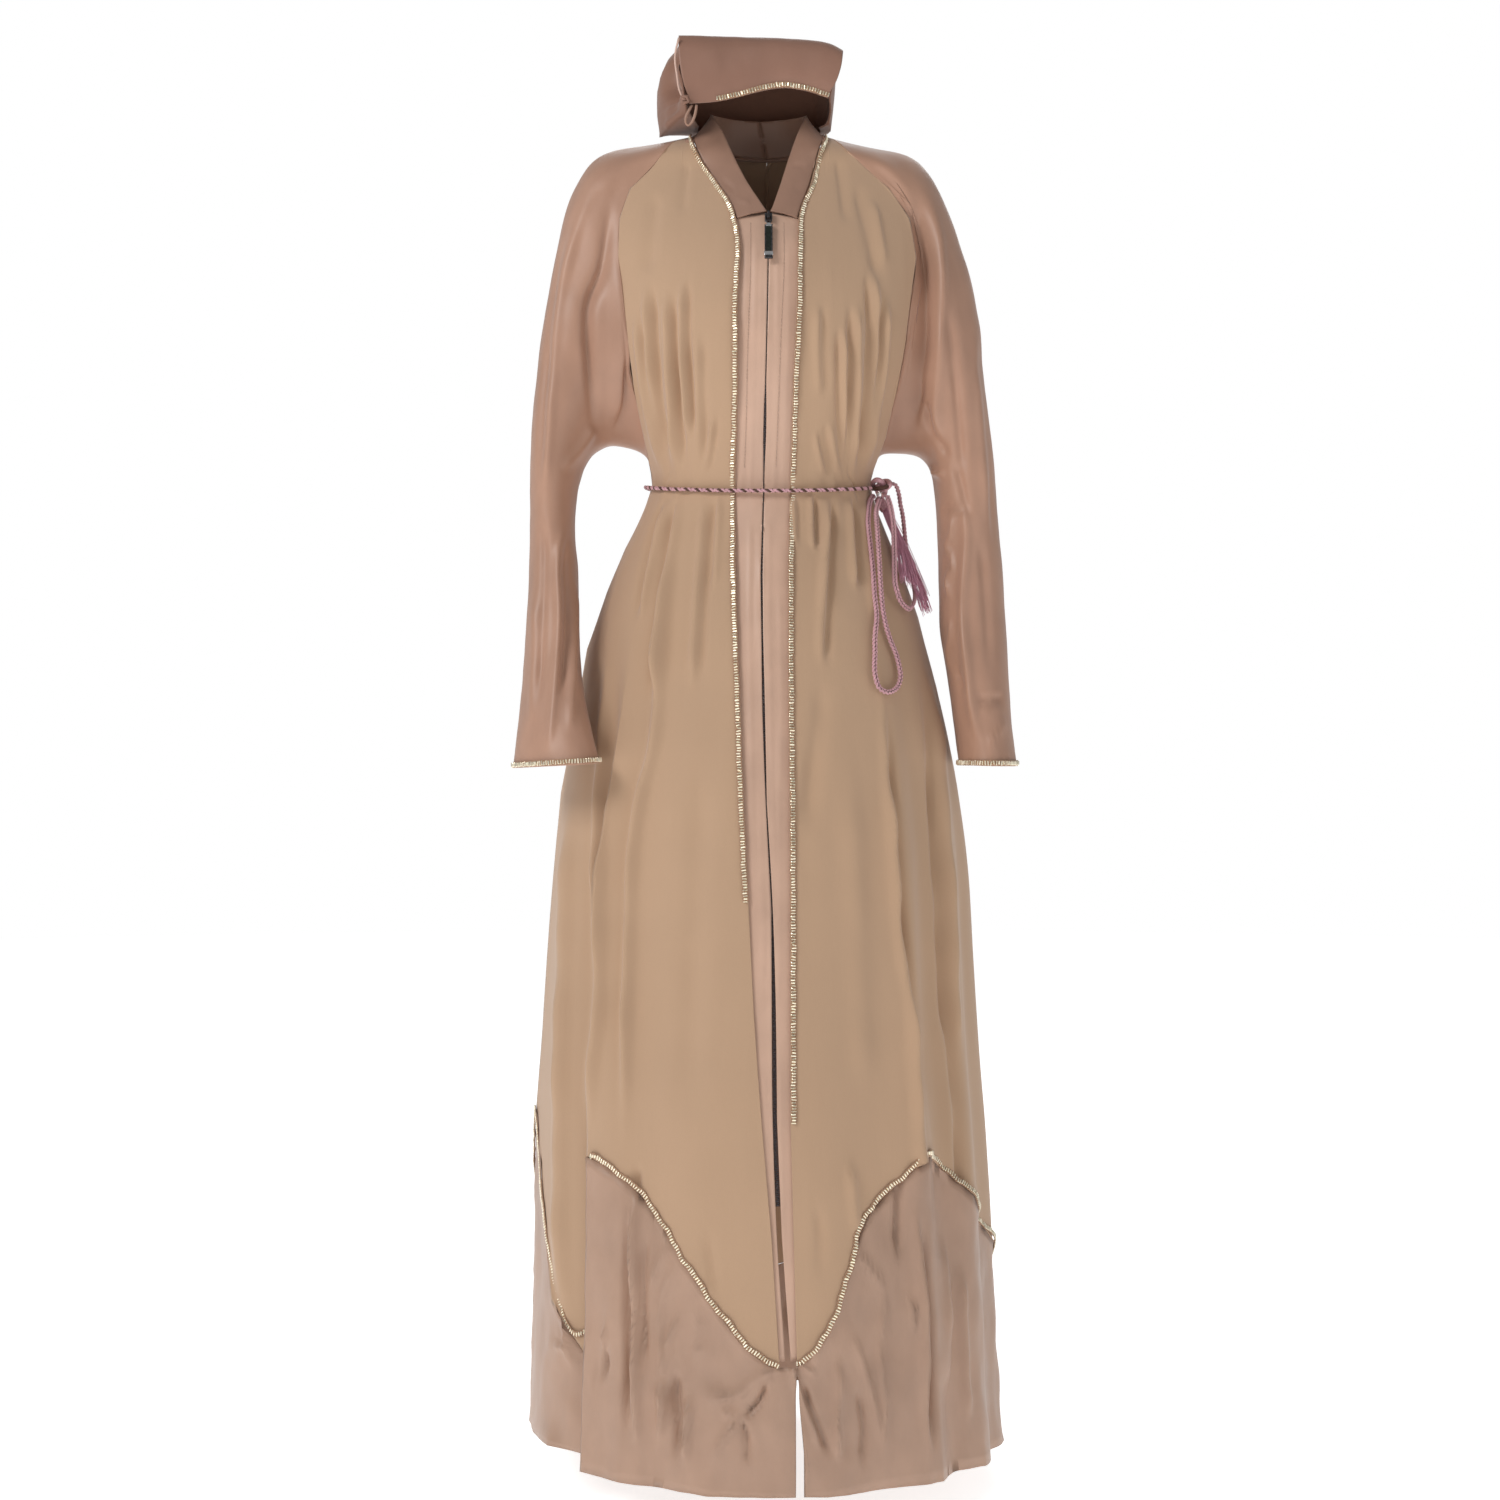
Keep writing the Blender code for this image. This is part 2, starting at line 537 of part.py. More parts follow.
def sleeve_rings(side):
    """The rings of one sleeve from the raglan seam to the cuff, each from the top round the front."""
    table = LEFT_SLEEVE if side > 0 else RIGHT_SLEEVE
    seam = [Vector((side * (smooth(RAGLAN, 0, side_column(side)) - 2 * SEAM), 0, 0))]
    places = [None]
    for drop in UPPER_DROPS:
        places.append((seam_turn(side, drop), drop))
    places.append((side * 90, WAIST - 2 * SEAM))
    for drop in reversed(UPPER_DROPS):
        places.append((side * 180 - seam_turn(side, drop), drop))
    seam += [body_point(*place) for place in places[1:]]
    count = len(seam)
    half = len(UPPER_DROPS) + 1
    top, under = seam[0], seam[half]
    axis = under - top
    sideways = Vector((axis.z, 0, -axis.x)).normalized()
    if sideways.x * side < 0:
        sideways = -sideways
    along = [(point - top).dot(axis) / axis.length_squared for point in seam]
    bows = [(point - top).dot(sideways) for point in seam]
    rings = []
    for row in table:
        outer = Vector((side * row.outer_x, row.outer_y, row.outer_z))
        inner = Vector((side * row.inner_x, row.inner_y, row.inner_z))
        ring = []
        for index in range(count):
            angle = math.pi * index / half
            bulge = row.front if index <= half else row.back
            arm = (outer + inner) / 2 + (outer - inner) / 2 * math.cos(angle)
            arm += Vector((0, -bulge * math.sin(angle), 0))
            like_seam = outer + (inner - outer) * along[index]
            like_seam += sideways * bows[index] * row.bow + Vector((0, seam[index].y, 0))
            ring.append(like_seam * row.rest + arm * (1 - row.rest))
        rings.append(ring)
    toward = []
    for index, point in enumerate(seam):
        if index == 0:
            toward.append(point)
            continue
        normal = body_normal(*places[index])
        tangent = (seam[(index + 1) % count] - seam[index - 1]).normalized()
        away = normal.cross(tangent)
        if index == half:
            away = Vector((0, 0, 1))
        elif away.dot(rings[0][index] - point) < 0:
            away = -away
        toward.append(point + away * SEAM)
    normals = [Vector((0, 0, 1))] + [body_normal(*place) for place in places[1:]]
    return [toward] + rings, normals


def ring_normals(rings, first):
    """Outward normals of a tube's points; the first ring keeps its own."""
    found = [first]
    count = len(rings[0])
    for index in range(1, len(rings)):
        ring = rings[index]
        centre = sum(ring, Vector()) / count
        after = rings[min(index + 1, len(rings) - 1)]
        before = rings[index - 1]
        row = []
        for column in range(count):
            round_it = ring[(column + 1) % count] - ring[column - 1]
            normal = round_it.cross(after[column] - before[column]).normalized()
            row.append(normal if normal.dot(ring[column] - centre) > 0 else -normal)
        found.append(row)
    return found


def off_face(points, normals, distance):
    """Points moved this far out along their normals."""
    return [point + normal * distance for point, normal in zip(points, normals)]


def make_sleeve(name, side):
    rings, first = sleeve_rings(side)
    normals = ring_normals(rings, first)
    inner = [off_face(ring, row, -CLOTH) for ring, row in zip(rings, normals)]
    grid_wall("sleeve_" + name, rings, inner, SATIN_LOOK, ring=True)
    share = TRIM_WIDTH / (rings[-1][0] - rings[-2][0]).length
    upper = [low.lerp(high, share) for low, high in zip(rings[-1], rings[-2])]
    above = [low.lerp(high, share).normalized() for low, high in zip(normals[-1], normals[-2])]
    edges = ((upper, above), (rings[-1], normals[-1]))
    low_face = [off_face(points, facing, CUFF_TRIM_LIFT) for points, facing in edges]
    top_face = [off_face(points, facing, CUFF_TRIM_LIFT + TRIM_WALL) for points, facing in edges]
    grid_wall("cuff_trim_" + name, top_face, low_face, TRIM_LOOK, ring=True)


def make_body():
    for name, side in (("left", 1), ("right", -1)):
        front = front_places(side)
        back = back_places(side)
        body_wall("front_" + name, front, 0, CLOTH, CHIFFON_LOOK)
        body_wall("back_" + name, back, 0, CLOTH, CHIFFON_LOOK)
        turns = [turn for turn, drop in front[-1]]
        slit = LEFT_SLIT
        if side < 0:
            slit = RIGHT_SLIT
            turns = [turn_of(1, slit[0].x, slit[0].drop)] + turns
        body_wall("skirt_front_" + name, skirt_places(turns, slit), 0, CLOTH, SATIN_LOOK)
        back_turns = [turn for turn, drop in back[-1]]
        body_wall("skirt_back_" + name, skirt_places(back_turns), 0, CLOTH, SATIN_LOOK)
        ends = len(front) - (LEFT_TRIM_SHORT if side > 0 else RIGHT_TRIM_SHORT)
        edge = [row[:2] for row in front[:ends]]
        body_wall("front_trim_" + name, edge, SEAM + TRIM_WALL, TRIM_WALL, TRIM_LOOK)
        body_wall("edge_trim_front_" + name, front[-2:], SEAM + TRIM_WALL, TRIM_WALL, TRIM_LOOK)
        body_wall("edge_trim_back_" + name, back[-2:], SEAM + TRIM_WALL, TRIM_WALL, TRIM_LOOK)


def band_places(side):
    """One placket strip, from under the chiffon's edge to its own edge at the zip."""
    drops = [BAND_TOP_OUTER, BAND_SECOND] + [drop for drop in UPPER_DROPS if drop > BAND_SECOND]
    drops += [waist_drop(0) + (BAND_END - waist_drop(0)) * step for step in BAND_LOW_STEPS]
    rows = []
    for drop in drops:
        rise = BAND_TOP_OUTER - BAND_TOP_INNER if drop == BAND_TOP_OUTER else 0
        row = []
        for share in BAND_SHARES:
            here = drop - rise * share
            line = smooth(ZIP_LINE, here, "x")
            zip_turn = turn_of(1, line + side * smooth(ZIP_OPENING, here, "half"), here)
            outer = edge_turn(side, here, BAND_EDGE)
            row.append((outer + (zip_turn - outer) * share, here))
        rows.append(row)
    return rows


def make_band():
    for name, side in (("left", 1), ("right", -1)):
        body_wall("band_" + name, band_places(side), -BAND_DEPTH, CLOTH, SATIN_LOOK)
    rows = []
    for drop in TAPE_DROPS:
        line = smooth(ZIP_LINE, drop, "x")
        rows.append([(turn_of(1, line + away, drop), drop) for away in (-TAPE_HALF, 0, TAPE_HALF)])
    body_wall("zip_tape", rows, -TAPE_DEPTH, TAPE_WALL, TAPE_LOOK)


def collar_rows(side, table):
    """Lower, middle and upper rows of one half of the collar, and the ways their points face."""
    lower = []
    facing = []
    for index, row in enumerate(table):
        if row.drop > 0:
            turn = slide(edge_turn(side, row.drop), row.drop, -side * COLLAR_GAP)
            lower.append(body_point(turn, row.drop))
            facing.append(body_normal(turn, row.drop))
            continue
        share = COLLAR_BACK[index - len(table)]
        drop = NECK_DROP * math.sqrt(1 - share * share)
        x = side * share * smooth(RAGLAN, 0, side_column(side)) * COLLAR_INSET + side * SEAM
        y = half_depth(180, max(drop, 0.5)) * math.sqrt(max(0, 1 - (x / half_width(side, drop)) ** 2))
        lower.append(Vector((x, max(CLOTH, y - COLLAR_STEP_IN), -drop - COLLAR_DIP)))
        facing.append(Vector((x - COLLAR_CENTRE.x, COLLAR_BACK_TURN * y, 0)).normalized())
    upper = [Vector((row.x, row.y, row.z)) for row in table]
    sums = [low + high for low, high in zip(lower, upper)]
    middle = []
    turned = []
    for index, low in enumerate(lower):
        high = upper[index]
        along = sums[min(index + 1, len(sums) - 1)] - sums[max(index - 1, 0)]
        normal = along.cross(high - low).normalized()
        if normal.dot((low + high) / 2 - COLLAR_CENTRE) < 0:
            normal = -normal
        middle.append((low + high) / 2 + normal * COLLAR_BULGE)
        turned.append(normal)
    return [lower, middle, upper], [facing, turned, turned]


def make_collar():
    """Both halves of the collar. Gives the line round the back of it that the hood starts from."""
    starts = []
    for name, side, table in (("left", 1, LEFT_COLLAR), ("right", -1, RIGHT_COLLAR)):
        outer, normals = collar_rows(side, table)
        inner = [[point - normal * CLOTH for point, normal in zip(*pair)] for pair in zip(outer, normals)]
        grid_wall("collar_" + name, outer, inner, SATIN_LOOK)
        first = [row.drop for row in table].index(UPPER_DROPS[0])
        starts.append([
            low.lerp(middle, HOOD_SEAM_SHARE) + normal * (CLOTH + 2 * SEAM)
            for low, middle, normal in list(zip(outer[0], outer[1], normals[1]))[first:]
        ])
    left, right = starts
    return right + left[-2::-1]


def along(points, share):
    """The point at this share of the way along evenly keyed points, on a smooth line through them."""
    last = len(points) - 1
    place = share * last
    low = min(int(place), last - 1)
    t = place - low
    p0, p1 = points[max(low - 1, 0)], points[low]
    p2, p3 = points[low + 1], points[min(low + 2, last)]
    return 0.5 * (2 * p1 + (p2 - p0) * t + (2 * p0 - 5 * p1 + 4 * p2 - p3) * t * t
                  + (3 * p1 - p0 - 3 * p2 + p3) * t ** 3)


def grid_normals(grid, centre):
    """The way each point of an open grid faces, turned away from a centre."""
    found = []
    for row, line in enumerate(grid):
        above, below = grid[max(row - 1, 0)], grid[min(row + 1, len(grid) - 1)]
        facing = []
        for column, point in enumerate(line):
            across = line[min(column + 1, len(line) - 1)] - line[max(column - 1, 0)]
            normal = across.cross(below[column] - above[column]).normalized()
            facing.append(normal if normal.dot(point - centre) > 0 else -normal)
        found.append(facing)
    return found


def open_wall(name, grid, centre, out, wall, look):
    """A wall over an open grid of points, its outer face this far out of them."""
    normals = grid_normals(grid, centre)
    outer = [[point + normal * out for point, normal in zip(*pair)] for pair in zip(grid, normals)]
    inner = [[point + normal * (out - wall) for point, normal in zip(*pair)] for pair in zip(grid, normals)]
    return grid_wall(name, outer, inner, look)


def brim_point(share, step):
    """A point on the front of the brim, from its top fold (0) to its low edge (1)."""
    top = Vector((smooth(BRIM, share, "top_x"), BRIM_TOP_Y, smooth(BRIM, share, "top_z")))
    low = Vector((smooth(BRIM, share, "low_x"), BRIM_LOW_Y, smooth(BRIM, share, "low_z")))
    bulge = BRIM_BULGE * math.sin(math.pi * step)
    return top.lerp(low, step) + Vector(((2 * share - 1) * bulge, -bulge, 0))


def make_hood(base):
    """The chiffon hood from the collar up and forward to its front, and the satin brim with its tie."""
    shares = [column / HOOD_COLUMNS for column in range(HOOD_COLUMNS + 1)]
    rings = [base] + [[Vector(place) for place in ring] for ring in HOOD_RINGS]
    shell = [[along(ring, share) for share in shares] for ring in rings]
    fold = []
    for share in shares:
        level = smooth(BRIM, share, "top_z") - FOLD_DIP
        fold.append(Vector((smooth(BRIM, share, "top_x"), HOOD_FRONT, level)))
    crown = [back.lerp(front, 0.5) + Vector((0, 0, CROWN_RISE)) for back, front in zip(shell[-1], fold)]
    open_wall("hood_shell", shell + [crown, fold], HOOD_CENTRE, 0, CLOTH, CHIFFON_LOOK)
    over = CLOTH + 3 * SEAM
    brim = [
        [front.lerp(back, BRIM_LAP) + Vector((0, 0, over)) for front, back in zip(fold, crown)],
        [front + Vector((0, -over, over)) for front in fold],
    ]
    brim += [[brim_point(share, step) for share in shares] for step in BRIM_STEPS]
    low = [brim_point(share, 1) for share in shares]
    brim += [[point + Vector((0, 0, TRIM_WIDTH)) for point in low], low]
    open_wall("hood_brim", brim, HOOD_CENTRE, 0, CLOTH, SATIN_LOOK)
    edge = [row[BRIM_TRIM_FROM:] for row in brim[-2:]]
    open_wall("hood_trim", edge, HOOD_CENTRE, SEAM + TRIM_WALL, TRIM_WALL, TRIM_LOOK)
    route = smooth_route([Vector(place) for place in HOOD_TIE], TIE_SPACING)
    tube("hood_tie", route, TIE_WIDTH, SATIN_LOOK, sides=1)


def tube(name, route, diameter, look, closed=False, sides=2):
    """A round cord along points in millimetres, with flat ends."""
    curve = bpy.data.curves.new(name, "CURVE")
    curve.dimensions = "3D"
    curve.bevel_depth = diameter / 2 * MM
    curve.bevel_resolution = sides
    curve.use_fill_caps = not closed
    spline = curve.splines.new("POLY")
    spline.points.add(len(route) - 1)
    for point, place in zip(spline.points, route):
        point.co = (*(place * MM), 1)
    spline.use_cyclic_u = closed
    curve.materials.append(material(*look))
    thing = bpy.data.objects.new(name, curve)
    bpy.context.scene.collection.objects.link(thing)
    return thing


def smooth_route(points, spacing):
    """Points at even steps along a smooth curve through a few points chosen by hand."""
    dense = []
    last = len(points) - 1
    for index in range(last):
        p0, p1 = points[max(index - 1, 0)], points[index]
        p2, p3 = points[index + 1], points[min(index + 2, last)]
        for step in range(20):
            t = step / 20
            dense.append(
                0.5 * (2 * p1 + (p2 - p0) * t + (2 * p0 - 5 * p1 + 4 * p2 - p3) * t * t
                       + (3 * p1 - p0 - 3 * p2 + p3) * t ** 3)
            )
    dense.append(points[last])
    total = sum((b - a).length for a, b in zip(dense, dense[1:]))
    pieces = max(2, round(total / spacing))
    even = [dense[0]]
    gone = 0.0
    for a, b in zip(dense, dense[1:]):
        step = (b - a).length
        while len(even) < pieces and gone + step >= total * len(even) / pieces:
            even.append(a.lerp(b, (total * len(even) / pieces - gone) / step))
        gone += step
    even.append(dense[-1])
    return even


BELT_STEPS = 48
BELT_START = 83.2
BELT_END = 429.4
BELT_CLEAR = 3.3
LOOP_SPACING = 14
KNOT = Vector((130, -28, -405))
KNOT_SIZE = Vector((14, 14, 13.5))
BEAD = Vector((127, -41.9, -415.2))
BEAD_SIZE = Vector((3.6, 3.6, 3.6))
LONG_LOOP = (
    Spot(121.5, -34.5, -415.6), Spot(117.5, -41, -420.5), Spot(115.5, -51, -427), Spot(114, -61, -438),
    Spot(113.2, -72, -452), Spot(115.3, -84, -478), Spot(117.4, -95.5, -505), Spot(118.5, -106, -531),
    Spot(120.6, -114, -557), Spot(118.3, -123, -580), Spot(118, -128.5, -599),
    Spot(117.4, -134.5, -618), Spot(120.9, -138, -634), Spot(127, -136, -640), Spot(134.5, -131, -641),
    Spot(142.8, -120, -636), Spot(147, -112, -625), Spot(146, -109, -613), Spot(142.4, -108, -598.5),
    Spot(136.4, -109, -584), Spot(131, -110, -567), Spot(127.6, -108, -548), Spot(125.6, -102, -521),
    Spot(124.3, -93, -490), Spot(123, -80, -460), Spot(122.5, -63, -438), Spot(126, -44, -425),
    Spot(128, -34, -419),
)
SHORT_LOOP = (
    Spot(136.4, -34.4, -416.2), Spot(140.3, -42, -431), Spot(142.6, -52, -452), Spot(142.8, -60, -468),
    Spot(142.6, -70, -488), Spot(142.3, -86, -516), Spot(144.9, -89, -529), Spot(148.3, -87, -538),
    Spot(154.8, -79, -545), Spot(160.2, -68, -546), Spot(165.5, -52, -539), Spot(168, -33, -526),
    Spot(165.5, -16, -508), Spot(161.5, -6, -485), Spot(158.5, -5, -462), Spot(156, -6, -438),
    Spot(153, -9, -424), Spot(151, -11, -412), Spot(147.5, -15.5, -402.5), Spot(143, -19.3, -400.8),
)
HEAD_TOP = Strand(80, 9, 420)
HEAD_LOW = Strand(79, 11, 436)
HEAD_WIDE = 12
HEAD_DEEP = 8
# Where each column of tassel strands ends
STRAND_ENDS = (
    Strand(62, 12, 516), Strand(65.5, 13, 519), Strand(69, 14, 522), Strand(73, 15, 552),
    Strand(77, 15, 548), Strand(81, 14, 537),
)
STRAND_LAYERS = 3
STRAND_STEPS = (0.3, 0.65, 1)
STRAND_WIDE = 2.4
STRAND_SAG = 7
STRAND_GAP = 0.25
STRAND_STAGGER = 3
STRAND_SPREAD = 2.2

# The slider and its pull, as boxes placed from a point on the front of the body
SLIDER_DROP = 112
PULL_DROP = 166
SLIDER_BOXES = (
    Box(0, 0.4, 0, 8.6, 4.6, 11), Box(0, 4.4, -3.6, 2.4, 6, 1.8), Box(0, 4.4, 3.6, 2.4, 6, 1.8),
    Box(0, 6.8, 0, 2.4, 1.4, 9),
)
PULL_BOXES = (
    Box(0, 4.3, 0, 8.2, 1.7, 1.6), Box(-3.4, 4.3, 5.6, 1.3, 1.5, 12.4),
    Box(3.4, 4.3, 5.6, 1.3, 1.5, 12.4), Box(0, 4.3, 30, 9, 1.8, 38), Box(0, 4.3, 53, 10.4, 3.2, 10),
)


def ellipsoid(name, centre, sizes, look, segments=14, rings=8):
    work = bmesh.new()
    bmesh.ops.create_uvsphere(work, u_segments=segments, v_segments=rings, radius=1)
    mesh = bpy.data.meshes.new(name)
    for vertex in work.verts:
        vertex.co = Vector([value * size for value, size in zip(vertex.co, sizes)]) * MM + centre * MM
    work.to_mesh(mesh)
    work.free()
    thing = bpy.data.objects.new(name, mesh)
    bpy.context.scene.collection.objects.link(thing)
    mesh.materials.append(material(*look))
    return thing


def border(grid):
    """The outer line of a grid of vertices, in order."""
    columns = range(len(grid))
    rows = range(len(grid[0]))
    line = [grid[i][0] for i in columns] + [grid[-1][j] for j in rows[1:]]
    return line + [grid[i][-1] for i in reversed(columns[:-1])] + [grid[0][j] for j in reversed(rows[1:-1])]


def make_tassel():
    """The tassel as one solid: a bound head whose underside is drawn out into strands."""
    work = bmesh.new()
    columns = len(STRAND_ENDS)

    def layer(place, size):
        out = body_normal(place.turn, place.drop)
        start = body_point(place.turn, place.drop)
        across = (body_point(place.turn + 1, place.drop) - start).normalized()
        centre = start + out * place.out
        grid = []
        for i in range(columns + 1):
            side = (i / columns - 0.5) * HEAD_WIDE * size
            deeps = [(j / STRAND_LAYERS - 0.5) * HEAD_DEEP * size for j in range(STRAND_LAYERS + 1)]
            grid.append([work.verts.new(centre + across * side + out * deep) for deep in deeps])
        return grid

    top, low = layer(HEAD_TOP, 0.5), layer(HEAD_LOW, 1)
    roots = []
    for i in range(columns):
        for j in range(STRAND_LAYERS):
            work.faces.new((top[i][j], top[i + 1][j], top[i + 1][j + 1], top[i][j + 1]))
            under = (low[i][j], low[i][j + 1], low[i + 1][j + 1], low[i + 1][j])
            roots.append((i, j, work.faces.new(under)))
    upper, lower = border(top), border(low)
    for index, corner in enumerate(upper):
        after = (index + 1) % len(upper)
        work.faces.new((corner, upper[after], lower[after], lower[index]))
    bmesh.ops.inset_individual(work, faces=[face for _, _, face in roots], thickness=STRAND_GAP)
    for i, j, face in roots:
        end = STRAND_ENDS[i]
        deep = (j + 0.5) / STRAND_LAYERS * 2 - 1
        root = face.calc_center_median()
        corners = [(vertex.co - root).normalized() * STRAND_WIDE / 2 for vertex in face.verts]
        drop = end.drop - STRAND_STAGGER * (j % 2)
        goal = body_point(end.turn, drop) + body_normal(end.turn, drop) * (end.out + STRAND_SPREAD * deep)
        sag = body_normal(end.turn, drop) * STRAND_SAG
        for step in STRAND_STEPS:
            face = bmesh.ops.extrude_discrete_faces(work, faces=[face])["faces"][0]
            middle = root.lerp(goal, step) + sag * math.sin(math.pi * step)
            for vertex, corner in zip(face.verts, corners):
                vertex.co = middle + corner
    bmesh.ops.recalc_face_normals(work, faces=work.faces)
    bmesh.ops.scale(work, vec=(MM, MM, MM), verts=work.verts)
    mesh = bpy.data.meshes.new("tassel")
    work.to_mesh(mesh)
    work.free()
    thing = bpy.data.objects.new("tassel", mesh)
    bpy.context.scene.collection.objects.link(thing)
    mesh.materials.append(material(*TASSEL_LOOK))


def joined_boxes(name, boxes, look):
    """Boxes that overlap each other, laid along the front of the body and made one solid."""
    turn = turn_of(1, smooth(ZIP_LINE, SLIDER_DROP, "x"), SLIDER_DROP)
    start = body_point(turn, SLIDER_DROP)
    down = body_point(turn, PULL_DROP) - start
    down = Vector((0, down.y, down.z)).normalized()
    out = Vector((0, down.z, -down.y))
    base = None
    for box in boxes:
        work = bmesh.new()
        for vertex in bmesh.ops.create_cube(work, size=1)["verts"]:
            across = box.across + box.wide * vertex.co.x
            away = box.out + box.thick * vertex.co.y
            below = box.down + box.long * vertex.co.z
            vertex.co = (start + Vector((across, 0, 0)) + out * away + down * below) * MM
        bmesh.ops.recalc_face_normals(work, faces=work.faces)
        mesh = bpy.data.meshes.new(name)
        work.to_mesh(mesh)
        work.free()
        thing = bpy.data.objects.new(name if base is None else name + "_helper", mesh)
        bpy.context.scene.collection.objects.link(thing)
        if base is None:
            base = thing
            mesh.materials.append(material(*look))
            continue
        thing.hide_render = True
        join = base.modifiers.new("join", "BOOLEAN")
        join.operation = "UNION"
        join.object = thing
    return start + out * PULL_BOXES[0].out


def make_belt():
    """The belt round the waist, its knot and bead, and the two loops that hang from the knot."""
    route = []
    for index in range(BELT_STEPS + 1):
        turn = BELT_START + (BELT_END - BELT_START) * index / BELT_STEPS
        turn = (turn + 180) % 360 - 180
        drop = waist_drop(turn) + 1
        route.append(body_point(turn, drop) + body_normal(turn, drop) * (CORD / 2 + BELT_CLEAR))
    tube("belt_cord", route, CORD, CORD_LOOK)
    ellipsoid("belt_knot", KNOT, KNOT_SIZE, CORD_LOOK)
    ellipsoid("belt_bead", BEAD, BEAD_SIZE, SILVER_LOOK, 10, 6)
    for name, places in (("long", LONG_LOOP), ("short", SHORT_LOOP)):
        route = smooth_route([Vector(place) for place in places], LOOP_SPACING)
        tube("belt_loop_" + name, route, CORD, CORD_LOOK)


def main():
    clear_scene()
    make_body()
    for name, side in (("left", 1), ("right", -1)):
        make_sleeve(name, side)
    make_band()
    make_hood(make_collar())
    make_belt()
    make_tassel()
    joined_boxes("zip_slider", SLIDER_BOXES, METAL_LOOK)
    hinge = joined_boxes("zip_pull", PULL_BOXES, METAL_LOOK)
    print("pull hinge", [round(value, 2) for value in hinge])


main()
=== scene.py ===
"""Looks of a zip-front abaya cloak with hood, satin flounce and tasselled belt, dressed round its frame.

Places are in metres in the frame of the CAD model unless a name says otherwise. The origin is the neck
point, -Y is the front with the zip, +X is the wearer's left side and +Z is up. Crease lines and routes are
in millimetres: "across" runs to +X and "drop" runs down from the neck point.
"""

import logging
import math
import random
from dataclasses import dataclass, field
from enum import Enum
from typing import Callable, Optional, Sequence

import bmesh
import bpy
import numpy as np
from mathutils import Matrix, Vector, noise
from mathutils.bvhtree import BVHTree


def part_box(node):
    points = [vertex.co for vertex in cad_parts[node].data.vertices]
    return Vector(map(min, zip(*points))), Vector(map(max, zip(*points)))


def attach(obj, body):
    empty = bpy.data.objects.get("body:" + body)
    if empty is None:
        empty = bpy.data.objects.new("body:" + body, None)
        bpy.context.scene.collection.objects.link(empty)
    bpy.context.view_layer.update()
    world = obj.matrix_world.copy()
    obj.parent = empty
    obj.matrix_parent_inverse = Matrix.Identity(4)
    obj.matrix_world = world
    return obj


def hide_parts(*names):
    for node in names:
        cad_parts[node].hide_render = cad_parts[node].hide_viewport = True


Thing = bpy.types.Object
Socket = bpy.types.NodeSocket
Look = bpy.types.Material
Triple = tuple[float, float, float]
Light = tuple[float, float, float, float]
Colour = Triple
Line = tuple[tuple[float, float], ...]
Route = tuple[Triple, ...]
Shape = tuple[list[Vector], list[tuple[int, ...]]]

LOG = logging.getLogger("abaya")
MM = 0.001
CAMERA_PLACE = Vector((-0.0196, -3.0, -0.705))
CAMERA_LENS = 62.6
FLOOR_LEVEL = -1.534
FLOOR_RADIUS = 9
# Corners nearer to each other than this are one corner
MERGE_REACH = 2e-5
GARMENT = "garment"
PULL_TAB = "pull_tab"


def linear(colour: Colour) -> Light:
    """Turns a colour as seen on a screen, from 0 to 255, into the shader's own light values.

    Args:
        colour: Red, green and blue from 0 to 255.

    Returns:
        The same colour as four light values, the last one full.
    """
    shares = [value / 255 for value in colour]
    lit = [v / 12.92 if v <= 0.04045 else ((v + 0.055) / 1.055) ** 2.4 for v in shares]
    return (lit[0], lit[1], lit[2], 1.0)


def smoothed(points: Sequence[Vector], spacing: float, closed: bool = False) -> list[Vector]:
    """Reads points at even steps from a smooth curve through a few given ones.

    Args:
        points: The places that the curve goes through.
        spacing: The wanted step, in the same unit as the points.
        closed: Whether the curve comes back to its first point.

    Returns:
        The evenly spaced points; the last one repeats the end of an open curve.
    """
    count = len(points)
    dense: list[Vector] = []
    for index in range(count if closed else count - 1):
        if closed:
            near = [points[(index + shift) % count] for shift in (-1, 0, 1, 2)]
        else:
            near = [points[min(max(index + shift, 0), count - 1)] for shift in (-1, 0, 1, 2)]
        before, start, end, after = near
        for step in range(16):
            t = step / 16
            bend = 2 * before - 5 * start + 4 * end - after
            turn = 3 * start + after - before - 3 * end
            dense.append(0.5 * (2 * start + (end - before) * t + bend * t * t + turn * t ** 3))
    dense.append(points[0].copy() if closed else points[-1].copy())
    total = sum((b - a).length for a, b in zip(dense, dense[1:]))
    pieces = max(3 if closed else 1, round(total / spacing))
    even = [dense[0]]
    gone = 0.0
    for a, b in zip(dense, dense[1:]):
        step_length = (b - a).length
        while len(even) < pieces and gone + step_length >= total * len(even) / pieces:
            even.append(a.lerp(b, (total * len(even) / pieces - gone) / step_length))
        gone += step_length
    if not closed:
        even.append(dense[-1])
    return even


def outward_of(place: Vector) -> Vector:
    """The level direction away from the wearer's middle at one place on the garment's body."""
    return Vector((place.x, place.y * 1.1, 0)).normalized()


